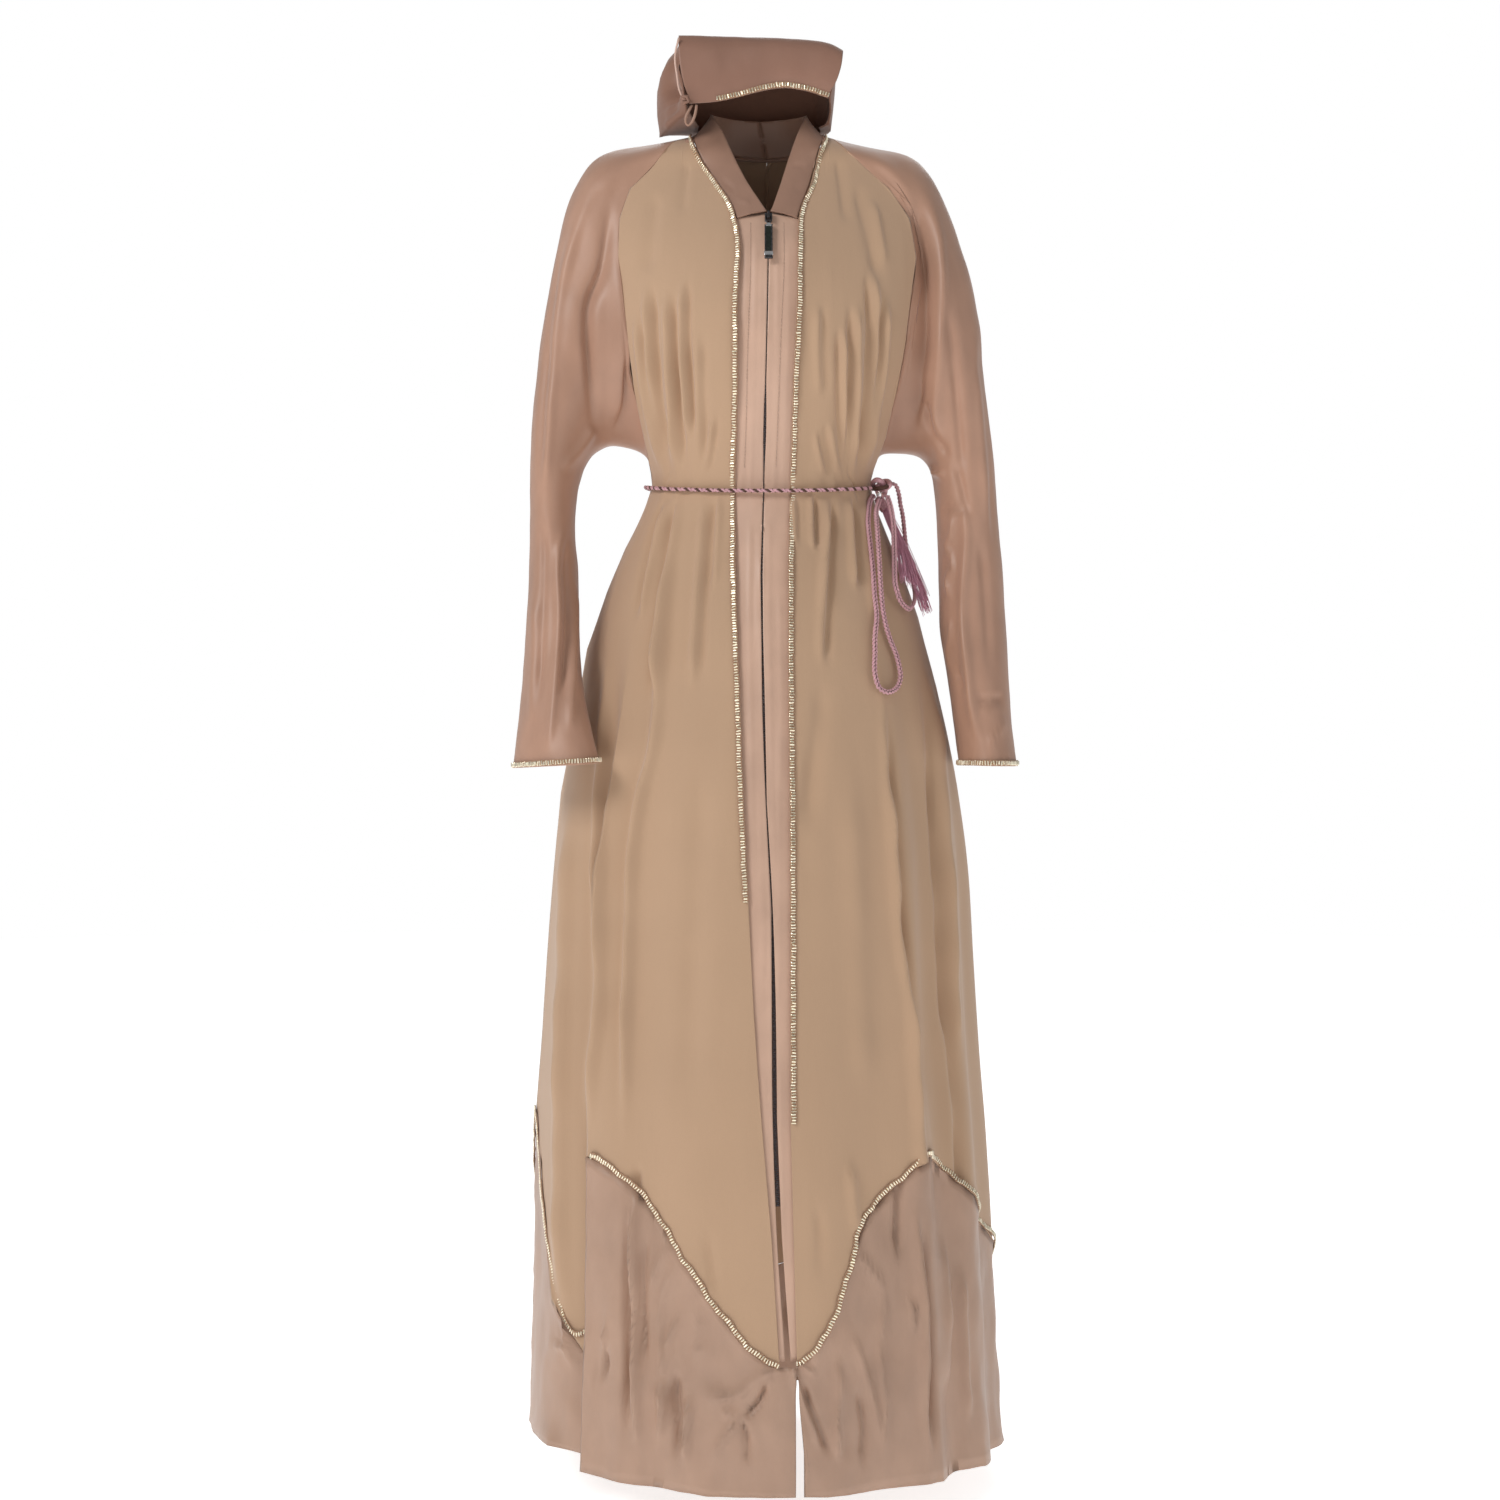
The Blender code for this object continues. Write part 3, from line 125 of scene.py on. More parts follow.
class Bench:
    """The few operator steps that every piece goes through."""

    @staticmethod
    def new(name: str, mesh: bpy.types.Mesh) -> Thing:
        """Puts a mesh into the scene as an object at the origin.

        Args:
            name: The piece's name.
            mesh: Its mesh, already in place.

        Returns:
            The new object.
        """
        thing = bpy.data.objects.new(name, mesh)
        bpy.context.scene.collection.objects.link(thing)
        return thing

    @staticmethod
    def take(thing: Thing) -> None:
        """Leaves one object selected and active, and nothing else."""
        if bpy.context.mode != "OBJECT":
            bpy.ops.object.mode_set(mode="OBJECT")
        bpy.ops.object.select_all(action="DESELECT")
        thing.select_set(True)
        bpy.context.view_layer.objects.active = thing

    @classmethod
    def apply_all(cls, thing: Thing) -> None:
        """Applies every modifier on an object, first to last."""
        cls.take(thing)
        for modifier in list(thing.modifiers):
            bpy.ops.object.modifier_apply(modifier=modifier.name)

    @classmethod
    def settle(cls, thing: Thing) -> None:
        """Moves an object's place, turn and scale into its mesh."""
        cls.take(thing)
        bpy.ops.object.transform_apply(location=True, rotation=True, scale=True)

    @staticmethod
    def paint(thing: Thing, *looks: Look) -> None:
        """Gives an object its materials, in the order of its faces' numbers."""
        thing.data.materials.clear()
        for look in looks:
            thing.data.materials.append(look)

    @staticmethod
    def smooth(thing: Thing) -> None:
        """Shades all of an object's faces smooth."""
        thing.data.polygons.foreach_set("use_smooth", [True] * len(thing.data.polygons))
        thing.data.update()

    @classmethod
    def copy_of(cls, node: str, name: str) -> Thing:
        """Copies a CAD node's mesh, with its loose triangles merged into a quad wall.

        Args:
            node: The CAD node's name.
            name: The new piece's name.

        Returns:
            The copy, as an object of its own.
        """
        thing = cls.new(name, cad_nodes()[node].data.copy())
        thing.data.name = name
        cls.take(thing)
        bpy.ops.object.mode_set(mode="EDIT")
        bpy.ops.mesh.select_all(action="SELECT")
        bpy.ops.mesh.remove_doubles(threshold=MERGE_REACH)
        bpy.ops.mesh.tris_convert_to_quads(face_threshold=math.radians(60), shape_threshold=math.radians(80))
        bpy.ops.object.mode_set(mode="OBJECT")
        return thing


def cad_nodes() -> dict[str, Thing]:
    """The CAD nodes' objects by name."""
    return FRAME["nodes"]


class NodeBoard:
    """A material's node tree, with short ways to add and join its nodes."""

    def __init__(self, name: str) -> None:
        """Starts a material of this name with its one shader."""
        self.material = bpy.data.materials.new(name)
        self.material.use_nodes = True
        self.tree = self.material.node_tree
        self.shader = self.tree.nodes["Principled BSDF"]
        self.place = self.tree.nodes.new("ShaderNodeTexCoord").outputs["Object"]

    def set(self, **values: float) -> None:
        """Sets the shader's own sockets, named with underscores for spaces."""
        for name, value in values.items():
            self.shader.inputs[name.replace("_", " ")].default_value = value

    def feed(self, node: bpy.types.Node, name: str | int, value: object) -> None:
        """Joins a socket to one input of a node, or sets that input."""
        if isinstance(value, Socket):
            self.tree.links.new(value, node.inputs[name])
        else:
            node.inputs[name].default_value = value

    def stretch(self, scale: Triple, turn: float = 0.0) -> Socket:
        """The object's own places, scaled along each axis and turned about Y."""
        node = self.tree.nodes.new("ShaderNodeMapping")
        self.feed(node, "Vector", self.place)
        node.inputs["Scale"].default_value = scale
        node.inputs["Rotation"].default_value = (0, turn, 0)
        return node.outputs["Vector"]

    def noise(self, places: Socket, scale: float, detail: float = 3,
              rough: float = 0.5) -> Socket:
        """A cloudy pattern from 0 to 1."""
        node = self.tree.nodes.new("ShaderNodeTexNoise")
        self.feed(node, "Vector", places)
        for name, value in (("Scale", scale), ("Detail", detail), ("Roughness", rough)):
            self.feed(node, name, value)
        return node.outputs["Fac"]

    def cells(self, places: Socket, scale: float) -> Socket:
        """Distances to the middles of scattered cells."""
        node = self.tree.nodes.new("ShaderNodeTexVoronoi")
        self.feed(node, "Vector", places)
        self.feed(node, "Scale", scale)
        return node.outputs["Distance"]

    def bands(self, places: Socket, scale: float, direction: str,
              waver: float = 0.0) -> Socket:
        """Even stripes across one axis, bent a little by waver."""
        node = self.tree.nodes.new("ShaderNodeTexWave")
        node.bands_direction = direction
        self.feed(node, "Vector", places)
        for name, value in (("Scale", scale), ("Distortion", waver), ("Detail", 1.0)):
            self.feed(node, name, value)
        return node.outputs["Fac"]

    def sums(self, operation: str, first: object, second: object) -> Socket:
        """One step of arithmetic on two values."""
        node = self.tree.nodes.new("ShaderNodeMath")
        node.operation = operation
        self.feed(node, 0, first)
        self.feed(node, 1, second)
        return node.outputs[0]

    def ranged(self, value: Socket, low: float, high: float,
               start: float = 0.0, end: float = 1.0) -> Socket:
        """Spreads a value's range from low to high over start to end."""
        node = self.tree.nodes.new("ShaderNodeMapRange")
        for name, number in (("From Min", low), ("From Max", high), ("To Min", start), ("To Max", end)):
            self.feed(node, name, number)
        self.feed(node, "Value", value)
        return node.outputs["Result"]

    def mixed(self, share: object, first: object, second: object) -> Socket:
        """A colour between two others."""
        node = self.tree.nodes.new("ShaderNodeMix")
        node.data_type = "RGBA"
        self.feed(node, 0, share)
        self.feed(node, 6, first)
        self.feed(node, 7, second)
        return node.outputs[2]

    def bump(self, height: Socket, strength: float, distance: float,
             under: Optional[Socket] = None) -> Socket:
        """A relief on the surface, laid over another one where given."""
        node = self.tree.nodes.new("ShaderNodeBump")
        self.feed(node, "Height", height)
        self.feed(node, "Strength", strength)
        self.feed(node, "Distance", distance)
        if under is not None:
            self.feed(node, "Normal", under)
        return node.outputs["Normal"]

    def finish(self, colour: object, rough: object,
               relief: Optional[Socket]) -> Look:
        """Joins the colour, roughness and relief to the shader and gives the material."""
        self.feed(self.shader, "Base Color", colour)
        self.feed(self.shader, "Roughness", rough)
        if relief is not None:
            self.feed(self.shader, "Normal", relief)
        self.material.diffuse_color = (0.5, 0.4, 0.35, 1)
        return self.material


@dataclass(frozen=True)
class Finish:
    """What every finish has: a name, the colour seen and how rough it is.

    Attributes:
        name: The material's name.
        colour: Its middle colour from 0 to 255.
        rough: Its middle roughness.
    """

    name: str
    colour: Colour
    rough: float

    def toned(self, share: float) -> Light:
        """The colour made lighter or darker by a share."""
        lit = linear(self.colour)
        return (lit[0] * share, lit[1] * share, lit[2] * share, 1.0)

    def made(self) -> Look:
        """The material, made once and then shared."""
        return bpy.data.materials.get(self.name) or self.make()

    def make(self) -> Look:
        """Builds the material's nodes."""
        raise NotImplementedError


@dataclass(frozen=True)
class ChiffonFinish(Finish):
    """Matt chiffon with a fine upright crinkle and a dull bloom.

    Attributes:
        crinkle: How deep the crinkle looks, in metres.
    """

    crinkle: float = 0.0006

    def make(self) -> Look:
        """Builds the crinkle, the grain of the threads and slow changes of tone."""
        board = NodeBoard(self.name)
        crinkle = board.noise(board.stretch((150, 150, 20)), 1.0, 3, 0.55)
        grain = board.noise(board.stretch((1500, 1500, 1100)), 1.0, 1, 0.5)
        cloud = board.noise(board.place, 7, 2, 0.5)
        tone = board.sums("ADD", board.sums("MULTIPLY", grain, 0.4), board.sums("MULTIPLY", cloud, 0.6))
        colour = board.mixed(board.ranged(tone, 0.3, 0.7), self.toned(0.95), self.toned(1.05))
        fine = board.bump(grain, 0.2, 0.0002)
        relief = board.bump(crinkle, 0.3, self.crinkle, fine)
        board.set(Sheen_Weight=0.25, Sheen_Roughness=0.6, Specular_IOR_Level=0.25)
        rough = board.ranged(grain, 0.2, 0.8, self.rough - 0.06, self.rough + 0.06)
        return board.finish(colour, rough, relief)


@dataclass(frozen=True)
class SatinFinish(Finish):
    """Soft satin with a quiet gloss, fine slanted threads and small soft dents.

    Attributes:
        dents: How deep the dents look, in metres.
    """

    dents: float = 0.0009

    def make(self) -> Look:
        """Builds the slanted threads, the dents, painted shade that darkens the colour in the dents, and slow
        changes of tone.
        """
        board = NodeBoard(self.name)
        dents = board.noise(board.stretch((38, 38, 22)), 1.0, 3, 0.55)
        threads = board.bands(board.stretch((1, 1, 1), 0.6), 420, "X", 2.0)
        grain = board.noise(board.stretch((1300, 1300, 500)), 1.0, 1, 0.5)
        cloud = board.noise(board.place, 9, 2, 0.5)
        # The colour follows the dents: lighter where they stand out and darker where they sink in, as painted
        # shade, mixed with slow random tone.
        tone = board.sums("ADD", board.sums("MULTIPLY", dents, 0.4), board.sums("MULTIPLY", cloud, 0.6))
        colour = board.mixed(board.ranged(tone, 0.3, 0.7), self.toned(0.88), self.toned(1.1))
        fine = board.bump(board.sums("ADD", threads, grain), 0.2, 0.00015)
        relief = board.bump(dents, 0.4, self.dents, fine)
        board.set(Sheen_Weight=0.18, Sheen_Roughness=0.4, Specular_IOR_Level=0.45, Anisotropic=0.35)
        rough = board.ranged(dents, 0.2, 0.8, self.rough - 0.05, self.rough + 0.07)
        return board.finish(colour, rough, relief)


@dataclass(frozen=True)
class RibbonFinish(Finish):
    """The woven ground of a narrow trim or tape, ribbed across.

    Attributes:
        rib: How close the ribs lie.
    """

    rib: float = 900.0

    def make(self) -> Look:
        """Builds the ribs and the small cells of the weave, with the colour darker in the grooves between
        them as painted shade.
        """
        board = NodeBoard(self.name)
        ribs = board.bands(board.stretch((1, 1, 1)), self.rib, "Z", 1.5)
        cells = board.cells(board.place, 620)
        # The colour follows the relief of the ribs and cells: lighter where they are raised and darker in the
        # grooves, as painted shade.
        tone = board.sums("ADD", board.sums("MULTIPLY", ribs, 0.5), board.sums("MULTIPLY", cells, 0.7))
        colour = board.mixed(board.ranged(tone, 0.2, 0.9), self.toned(0.68), self.toned(1.18))
        relief = board.bump(tone, 0.5, 0.0005)
        board.set(Sheen_Weight=0.12, Sheen_Roughness=0.5, Specular_IOR_Level=0.4)
        rough = board.ranged(cells, 0.1, 0.6, self.rough - 0.08, self.rough + 0.08)
        return board.finish(colour, rough, relief)


@dataclass(frozen=True)
class ThreadFinish(Finish):
    """Silky thread whose twist lines run round the strand by its own map.

    Attributes:
        twists: How close the twist lines lie.
        gloss: How much the thread shines.
    """

    twists: float = 5.0
    gloss: float = 0.5

    def make(self) -> Look:
        """Builds slanted twist lines on the strand's own map, with painted shade that darkens the colour in
        their grooves, and random patches of tone.
        """
        board = NodeBoard(self.name)
        strand = board.tree.nodes.new("ShaderNodeUVMap")
        strand.uv_map = "strand"
        turn = board.tree.nodes.new("ShaderNodeMapping")
        board.feed(turn, "Vector", strand.outputs["UV"])
        turn.inputs["Rotation"].default_value = (0, 0, 0.7)
        lines = board.bands(turn.outputs["Vector"], self.twists, "X", 0.6)
        cloud = board.noise(board.place, 160, 3, 0.6)
        # The colour follows the twist lines: lighter on the raised twists and darker in their grooves as
        # painted shade, mixed with random patches of tone.
        tone = board.sums("ADD", board.sums("MULTIPLY", lines, 0.45), board.sums("MULTIPLY", cloud, 0.55))
        colour = board.mixed(board.ranged(tone, 0.25, 0.75), self.toned(0.7), self.toned(1.22))
        relief = board.bump(lines, 0.5, 0.0003)
        board.set(Sheen_Weight=0.3, Sheen_Roughness=0.35, Specular_IOR_Level=self.gloss)
        rough = board.ranged(cloud, 0.2, 0.8, self.rough - 0.07, self.rough + 0.07)
        return board.finish(colour, rough, relief)


@dataclass(frozen=True)
class MetalFinish(Finish):
    """Polished metal with faint rubbed patches and hair scratches."""

    def make(self) -> Look:
        """Builds the rubbed patches and the scratches."""
        board = NodeBoard(self.name)
        rubbed = board.noise(board.place, 300, 4, 0.6)
        hairs = board.noise(board.stretch((2600, 2600, 180), 0.3), 1.0, 2, 0.6)
        colour = board.mixed(board.ranged(rubbed, 0.3, 0.7), self.toned(0.8), self.toned(1.15))
        relief = board.bump(hairs, 0.15, 0.00008)
        board.set(Metallic=1.0)
        rough = board.ranged(rubbed, 0.25, 0.75, self.rough - 0.05, self.rough + 0.1)
        return board.finish(colour, rough, relief)


@dataclass(frozen=True)
class PlainFinish(Finish):
    """The studio's plain pale floor, faintly lit from below like a light table.

    Attributes:
        glow: The strength of that light.
    """

    glow: float = 0.78

    def make(self) -> Look:
        """Builds a barely clouded pale surface."""
        board = NodeBoard(self.name)
        cloud = board.noise(board.place, 2.5, 3, 0.5)
        colour = board.mixed(cloud, self.toned(0.985), self.toned(1.0))
        board.set(Emission_Strength=self.glow)
        board.shader.inputs["Emission Color"].default_value = (1, 1, 1, 1)
        return board.finish(colour, self.rough, None)


CHIFFON_TOP = ChiffonFinish("chiffon_body", (185, 152, 123), 0.78)
CHIFFON_HOOD = ChiffonFinish("chiffon_hood", (132, 95, 77), 0.78)
SATIN_BAND = SatinFinish("satin_band", (202, 166, 144), 0.42)
SATIN_FLOUNCE = SatinFinish("satin_flounce", (176, 143, 122), 0.44, 0.0016)
SATIN_SLEEVE = SatinFinish("satin_sleeve", (178, 138, 116), 0.42)
SATIN_COLLAR = SatinFinish("satin_collar", (160, 124, 105), 0.42)
SATIN_BRIM = SatinFinish("brim_satin", (144, 107, 90), 0.42)
PIPING_SATIN = SatinFinish("piping_satin", (206, 172, 156), 0.42)
TRIM_GROUND = RibbonFinish("trim_ribbon", (172, 134, 106), 0.55)
TAPE_GROUND = RibbonFinish("zip_tape_weave", (92, 70, 64), 0.62, 1200.0)
GOLD_BEADS = MetalFinish("pale_gold_beads", (255, 244, 220), 0.34)
PINK_CORD = ThreadFinish("pink_braid", (214, 164, 172), 0.48, 4.0)
DARK_CORD = ThreadFinish("brown_core", (88, 60, 50), 0.62, 4.0, 0.3)
TASSEL_THREAD = ThreadFinish("tassel_threads", (224, 160, 184), 0.42, 9.0)
SEWING_THREAD = ThreadFinish("sewing_thread", (206, 174, 152), 0.5, 3.0)
GUNMETAL = MetalFinish("gunmetal", (92, 90, 92), 0.26)
PLATE_METAL = MetalFinish("plate_metal", (74, 80, 74), 0.2)
BRIGHT_METAL = MetalFinish("bright_metal", (226, 226, 228), 0.14)
PALE_FLOOR = PlainFinish("pale_floor", (244, 244, 244), 0.85)


# How much a crease's height swells along it, as a share, and over what lengths in millimetres
SLOW_SWELL, SLOW_LENGTH = 0.22, 37.0
QUICK_SWELL, QUICK_LENGTH = 0.12, 13.0


class Form(Enum):
    """How a crease's height falls away to its sides."""

    SOFT = "soft"
    SHARP = "sharp"


@dataclass(frozen=True)
class Crease:
    """A line along which cloth stands out or sinks in.

    Attributes:
        line: Places (across, drop) in millimetres.
        width: Half its width in millimetres.
        push: How far it stands out in millimetres; negative sinks in.
        form: How its height falls away to its sides.
        fade: The share of its length over which each end dies away.
    """

    line: Line
    width: float
    push: float
    form: Form = Form.SOFT
    fade: float = 0.22

    def height(self, across: np.ndarray, drop: np.ndarray) -> np.ndarray:
        """The crease's height at many places.

        Args:
            across: The places' distances to +X, in millimetres.
            drop: Their distances down, in millimetres.

        Returns:
            The push out at each place, in millimetres.
        """
        points = smoothed([Vector((x, y, 0)) for x, y in self.line], 14.0)
        nearest = np.full(across.shape, 1e9)
        along = np.zeros(across.shape)
        gone = 0.0
        for start, end in zip(points, points[1:]):
            run, fall = end.x - start.x, end.y - start.y
            length = math.hypot(run, fall)
            share = ((across - start.x) * run + (drop - start.y) * fall) / length ** 2
            share = np.clip(share, 0, 1)
            aside = across - start.x - share * run
            below = drop - start.y - share * fall
            distance = np.hypot(aside, below)
            closer = distance < nearest
            nearest = np.where(closer, distance, nearest)
            along = np.where(closer, gone + share * length, along)
            gone += length
        ends = np.clip(np.minimum(along, gone - along) / (gone * self.fade), 0, 1)
        ends = ends * ends * (3 - 2 * ends)
        uneven = 1 + SLOW_SWELL * np.sin(along / SLOW_LENGTH + self.line[0][0])
        uneven += QUICK_SWELL * np.sin(along / QUICK_LENGTH)
        away = nearest / self.width
        if self.form is Form.SOFT:
            profile = np.exp(-away ** 2)
        else:
            profile = np.exp(-1.5 * away) * (1 - 0.3 * np.exp(-8 * away))
        return self.push * ends * uneven * profile


def both(line: Line, width: float, push: float, aside: float) -> tuple[Crease, Crease]:
    """A ridge with a trough beside it, as a gathered fold has.

    Args:
        line: Places (across, drop) of the ridge.
        width: Half the ridge's width.
        push: How far the ridge stands out.
        aside: How far to +X the trough lies.

    Returns:
        The ridge and its trough.
    """
    moved = tuple((x + aside, y) for x, y in line)
    return Crease(line, width, push, fade=0.2), Crease(moved, width * 0.9, -push * 0.8, fade=0.2)


# Seen from the front, on the middle plane of the garment
FRONT_CREASES: tuple[Crease, ...] = (
    Crease(((-109, 417), (-121, 600), (-128, 692), (-143, 760), (-154, 844), (-159, 992), (-164, 1175)),
           6, 4.5),
    Crease(((-182, 577), (-185, 676), (-192, 776), (-192, 992), (-199, 1061), (-206, 1160)), 6, 4.5),
    Crease(((-227, 737), (-235, 992), (-238, 1167), (-237, 1289), (-229, 1378)), 7, 4),
    Crease(((128, 600), (136, 676), (143, 776), (154, 928), (166, 992), (175, 1144), (192, 1366),
            (202, 1480)), 6, 4.5),
    Crease(((138, 640), (147, 776), (160, 928), (172, 1010), (182, 1150)), 5, -4.5),
    Crease(((166, 577), (185, 661), (194, 776), (206, 992), (214, 1042), (225, 1195), (224, 1366),
            (227, 1518)), 6, -4.5),
    Crease(((176, 590), (195, 680), (205, 800), (214, 960), (222, 1100)), 5, 3.5),
    # Gathers below the belt
    *both(((69, 409), (67, 470), (63, 540), (60, 610)), 4.5, 3, 8),
    *both(((50, 409), (50, 440), (52, 475)), 3.5, 2, 6),
    *both(((93, 409), (96, 450), (100, 520)), 4, 2.4, 7),
    *both(((110, 409), (116, 470), (124, 560)), 4.5, 2.6, 8),
    *both(((30, 412), (31, 440), (32, 470)), 4, 1.2, 6),
    *both(((-72, 412), (-76, 470), (-82, 560), (-86, 640)), 5, 2.4, 8),
    *both(((-98, 411), (-108, 470), (-118, 560), (-126, 650)), 5, 3, -8),
    *both(((-54, 412), (-57, 460), (-60, 520)), 4, 1.6, -6),
    *both(((-112, 415), (-128, 470), (-146, 560)), 4.5, 2.4, -8),
    Crease(((67, 623), (60, 680), (52, 737), (46, 800)), 10, -2.2),
    Crease(((-75, 700), (-82, 860), (-88, 1010), (-92, 1160)), 16, -2),
    Crease(((92, 700), (100, 840), (106, 980), (112, 1120)), 14, 1.8),
    # Gathers above the belt, on the wearer's right
    *both(((-140, 165), (-137, 240), (-130, 310), (-120, 372)), 4.5, 2.8, 8),
    *both(((-116, 175), (-114, 250), (-108, 320), (-104, 388)), 5, 3, 8),
    *both(((-97, 160), (-98, 230), (-94, 300), (-91, 350)), 4.5, 2.6, 7),
    *both(((-152, 200), (-144, 270), (-131, 340), (-118, 390)), 4, 2.2, 7),
    *both(((-80, 225), (-80, 290), (-79, 350), (-79, 385)), 5, 1.4, 8),
    *both(((-62, 320), (-66, 350), (-72, 386)), 4, 1, 6),
    Crease(((-128, 60), (-134, 110), (-140, 160)), 9, -1.6),
    # Gathers above the belt, on the wearer's left
    *both(((122, 150), (126, 209), (122, 290), (114, 362), (110, 388)), 4.5, 3, -8),
    *both(((138, 180), (134, 250), (124, 323), (112, 386)), 4, 2.6, -6),
    *both(((104, 190), (104, 270), (100, 340), (98, 388)), 4.5, 2.8, -8),
    *both(((88, 215), (88, 290), (90, 350), (92, 388)), 4, 2, -6),
    *both(((58, 190), (57, 240), (60, 300)), 5, 1.2, 8),
    *both(((72, 330), (76, 360), (82, 388)), 4, 1.4, -6),
    *both(((54, 340), (60, 368), (66, 390)), 3.5, 1.2, 6),
    # Soft drapes from the raglan seam
    Crease(((104, 50), (112, 90), (122, 130), (130, 170)), 7, -1.8),
    Crease(((82, 22), (88, 60), (92, 100)), 6, -1.2),
    Crease(((120, 70), (128, 110), (136, 150)), 5, 1.3),
    Crease(((-92, 24), (-96, 60), (-98, 90)), 6, -1),
    # Flutes that end at the pointed edge
    Crease(((-150, 1180), (-152, 1230), (-146, 1265)), 5, -2.4),
    Crease(((-70, 1262), (-64, 1300), (-62, 1330)), 5, -1.6),
    Crease(((96, 1180), (100, 1230), (104, 1262)), 5, 2),
    Crease(((60, 1230), (62, 1270), (60, 1310)), 6, -1.6),
)
# Seen from the front, on the sleeves
SLEEVE_CREASES: tuple[Crease, ...] = (
    # The wearer's right
    Crease(((-196, 52), (-216, 96), (-238, 180), (-246, 260), (-252, 360), (-258, 430)), 6, 2.2),
    Crease(((-224, 80), (-240, 140), (-252, 240), (-259, 330), (-263, 420)), 4.5, -2.4),
    Crease(((-178, 70), (-188, 150), (-205, 196), (-202, 270), (-198, 350)), 7, -4.5),
    Crease(((-172, 130), (-172, 210), (-172, 290), (-180, 350)), 8, 2.6),
    Crease(((-156, 250), (-163, 300), (-176, 345)), 6, -2),
    Crease(((-196, 330), (-216, 362), (-236, 384)), 6, 2.2),
    Crease(((-221, 439), (-235, 457), (-241, 492), (-240, 562), (-246, 646), (-253, 715)), 5, 4),
    Crease(((-230, 455), (-232, 500), (-231, 570), (-236, 650)), 4.5, -3),
    Crease(((-262, 430), (-256, 470), (-258, 560), (-264, 660)), 5, -2.4),
    Crease(((-222, 500), (-221, 560), (-224, 630), (-228, 690)), 5, 2.4),
    Crease(((-268, 520), (-268, 600), (-272, 680)), 5, 1.8),
    # The wearer's left
    Crease(((118, 18), (138, 34), (160, 62), (176, 100)), 8, 2),
    Crease(((156, 52), (172, 92), (180, 150), (178, 215), (170, 280), (160, 350)), 11, -8),
    Crease(((182, 60), (196, 110), (201, 180), (199, 250), (195, 310), (198, 380)), 7, 3.4),
    Crease(((205, 190), (214, 250), (220, 320), (226, 400)), 6, -2.4),
    Crease(((206, 60), (222, 110), (236, 190), (244, 280), (250, 380), (256, 470)), 6, 2.2),
    Crease(((240, 220), (249, 300), (256, 390), (262, 480)), 4, -2),
    Crease(((178, 300), (192, 340), (214, 372)), 5, -2.6),
    Crease(((170, 372), (190, 386), (208, 388)), 4, 2.2),
    Crease(((212, 372), (222, 392), (232, 440)), 5, -2.6),
    Crease(((222, 405), (229, 450), (227, 500), (225, 549), (230, 604), (234, 646), (242, 690),
            (252, 715)), 6, 4),
    Crease(((206, 430), (214, 450), (205, 472), (216, 492), (206, 512), (215, 536)), 3.4, 2.6, Form.SHARP),
    Crease(((205, 548), (213, 566), (207, 590), (212, 620)), 3.6, 2.4, Form.SHARP),
    Crease(((216, 613), (222, 622), (228, 636)), 4, -2.5),
    Crease(((199, 430), (214, 428), (229, 430)), 4, -2.4),
    Crease(((240, 647), (256, 650), (274, 647)), 4, -2.2),
    Crease(((276, 670), (266, 684), (254, 702)), 4, 2.4, Form.SHARP),
    Crease(((246, 460), (252, 540), (256, 620)), 6, -2),
)
# Seen from behind the sleeves and the back, as plain distances across and down
SLEEVE_BACK_CREASES: tuple[Crease, ...] = (
    Crease(((-196, 90), (-204, 200), (-212, 320)), 8, 3.5),
    Crease(((-230, 120), (-238, 240), (-242, 340)), 8, -3),
    Crease(((-190, 345), (-216, 380), (-250, 396)), 7, -3.5),
    Crease(((-226, 412), (-238, 422), (-256, 424)), 6, 2),
    Crease(((-222, 470), (-230, 560), (-236, 660)), 7, 3),
    Crease(((-256, 480), (-258, 590), (-262, 680)), 6, -2.5),
    Crease(((168, 90), (184, 190), (196, 310)), 8, 3.5),
    Crease(((200, 130), (214, 250), (222, 330)), 8, -3),
    Crease(((188, 350), (212, 384), (238, 392)), 7, -3.5),
    Crease(((222, 408), (234, 414), (248, 416)), 6, 2),
    Crease(((216, 480), (222, 570), (230, 680)), 7, 3),
    Crease(((246, 500), (250, 600), (258, 690)), 6, -2.5),
)
BACK_CREASES: tuple[Crease, ...] = (
    *both(((-96, 180), (-90, 280), (-80, 385)), 6, 2.6, 11),
    *both(((-62, 210), (-58, 300), (-50, 388)), 6, 2.4, 11),
    *both(((-26, 230), (-24, 310), (-22, 390)), 5, 2, 9),
    *both(((14, 220), (14, 310), (12, 390)), 5, 2.2, 10),
    *both(((48, 200), (46, 300), (40, 388)), 6, 2.4, -11),
    *both(((86, 170), (82, 280), (72, 386)), 6, 2.6, -11),
    *both(((-92, 412), (-104, 500), (-112, 600)), 6, 3, 11),
    *both(((-66, 412), (-72, 480), (-80, 570)), 5, 2.6, 10),
    *both(((-40, 412), (-44, 500), (-46, 640)), 6, 2.8, 11),
    *both(((-8, 412), (-8, 480), (-10, 560)), 5, 2.4, 10),
    *both(((22, 412), (24, 500), (26, 620)), 6, 2.8, 11),
    *both(((52, 412), (58, 480), (62, 560)), 5, 2.4, 10),
    *both(((78, 412), (90, 500), (100, 620)), 6, 3, -11),
    Crease(((-150, 620), (-162, 850), (-170, 1100)), 11, 3.5),
    Crease(((-92, 640), (-100, 860), (-104, 1120)), 11, -3),
    Crease(((-30, 680), (-32, 900), (-34, 1150)), 12, 3.5),
    Crease(((36, 640), (40, 850), (42, 1100)), 11, -3),
    Crease(((88, 640), (98, 880), (104, 1120)), 11, 3.5),
    Crease(((150, 600), (160, 840), (168, 1100)), 11, -3),
    Crease(((-60, 60), (-70, 120), (-84, 170)), 12, 2),
    Crease(((56, 60), (64, 120), (76, 170)), 12, 2),
)
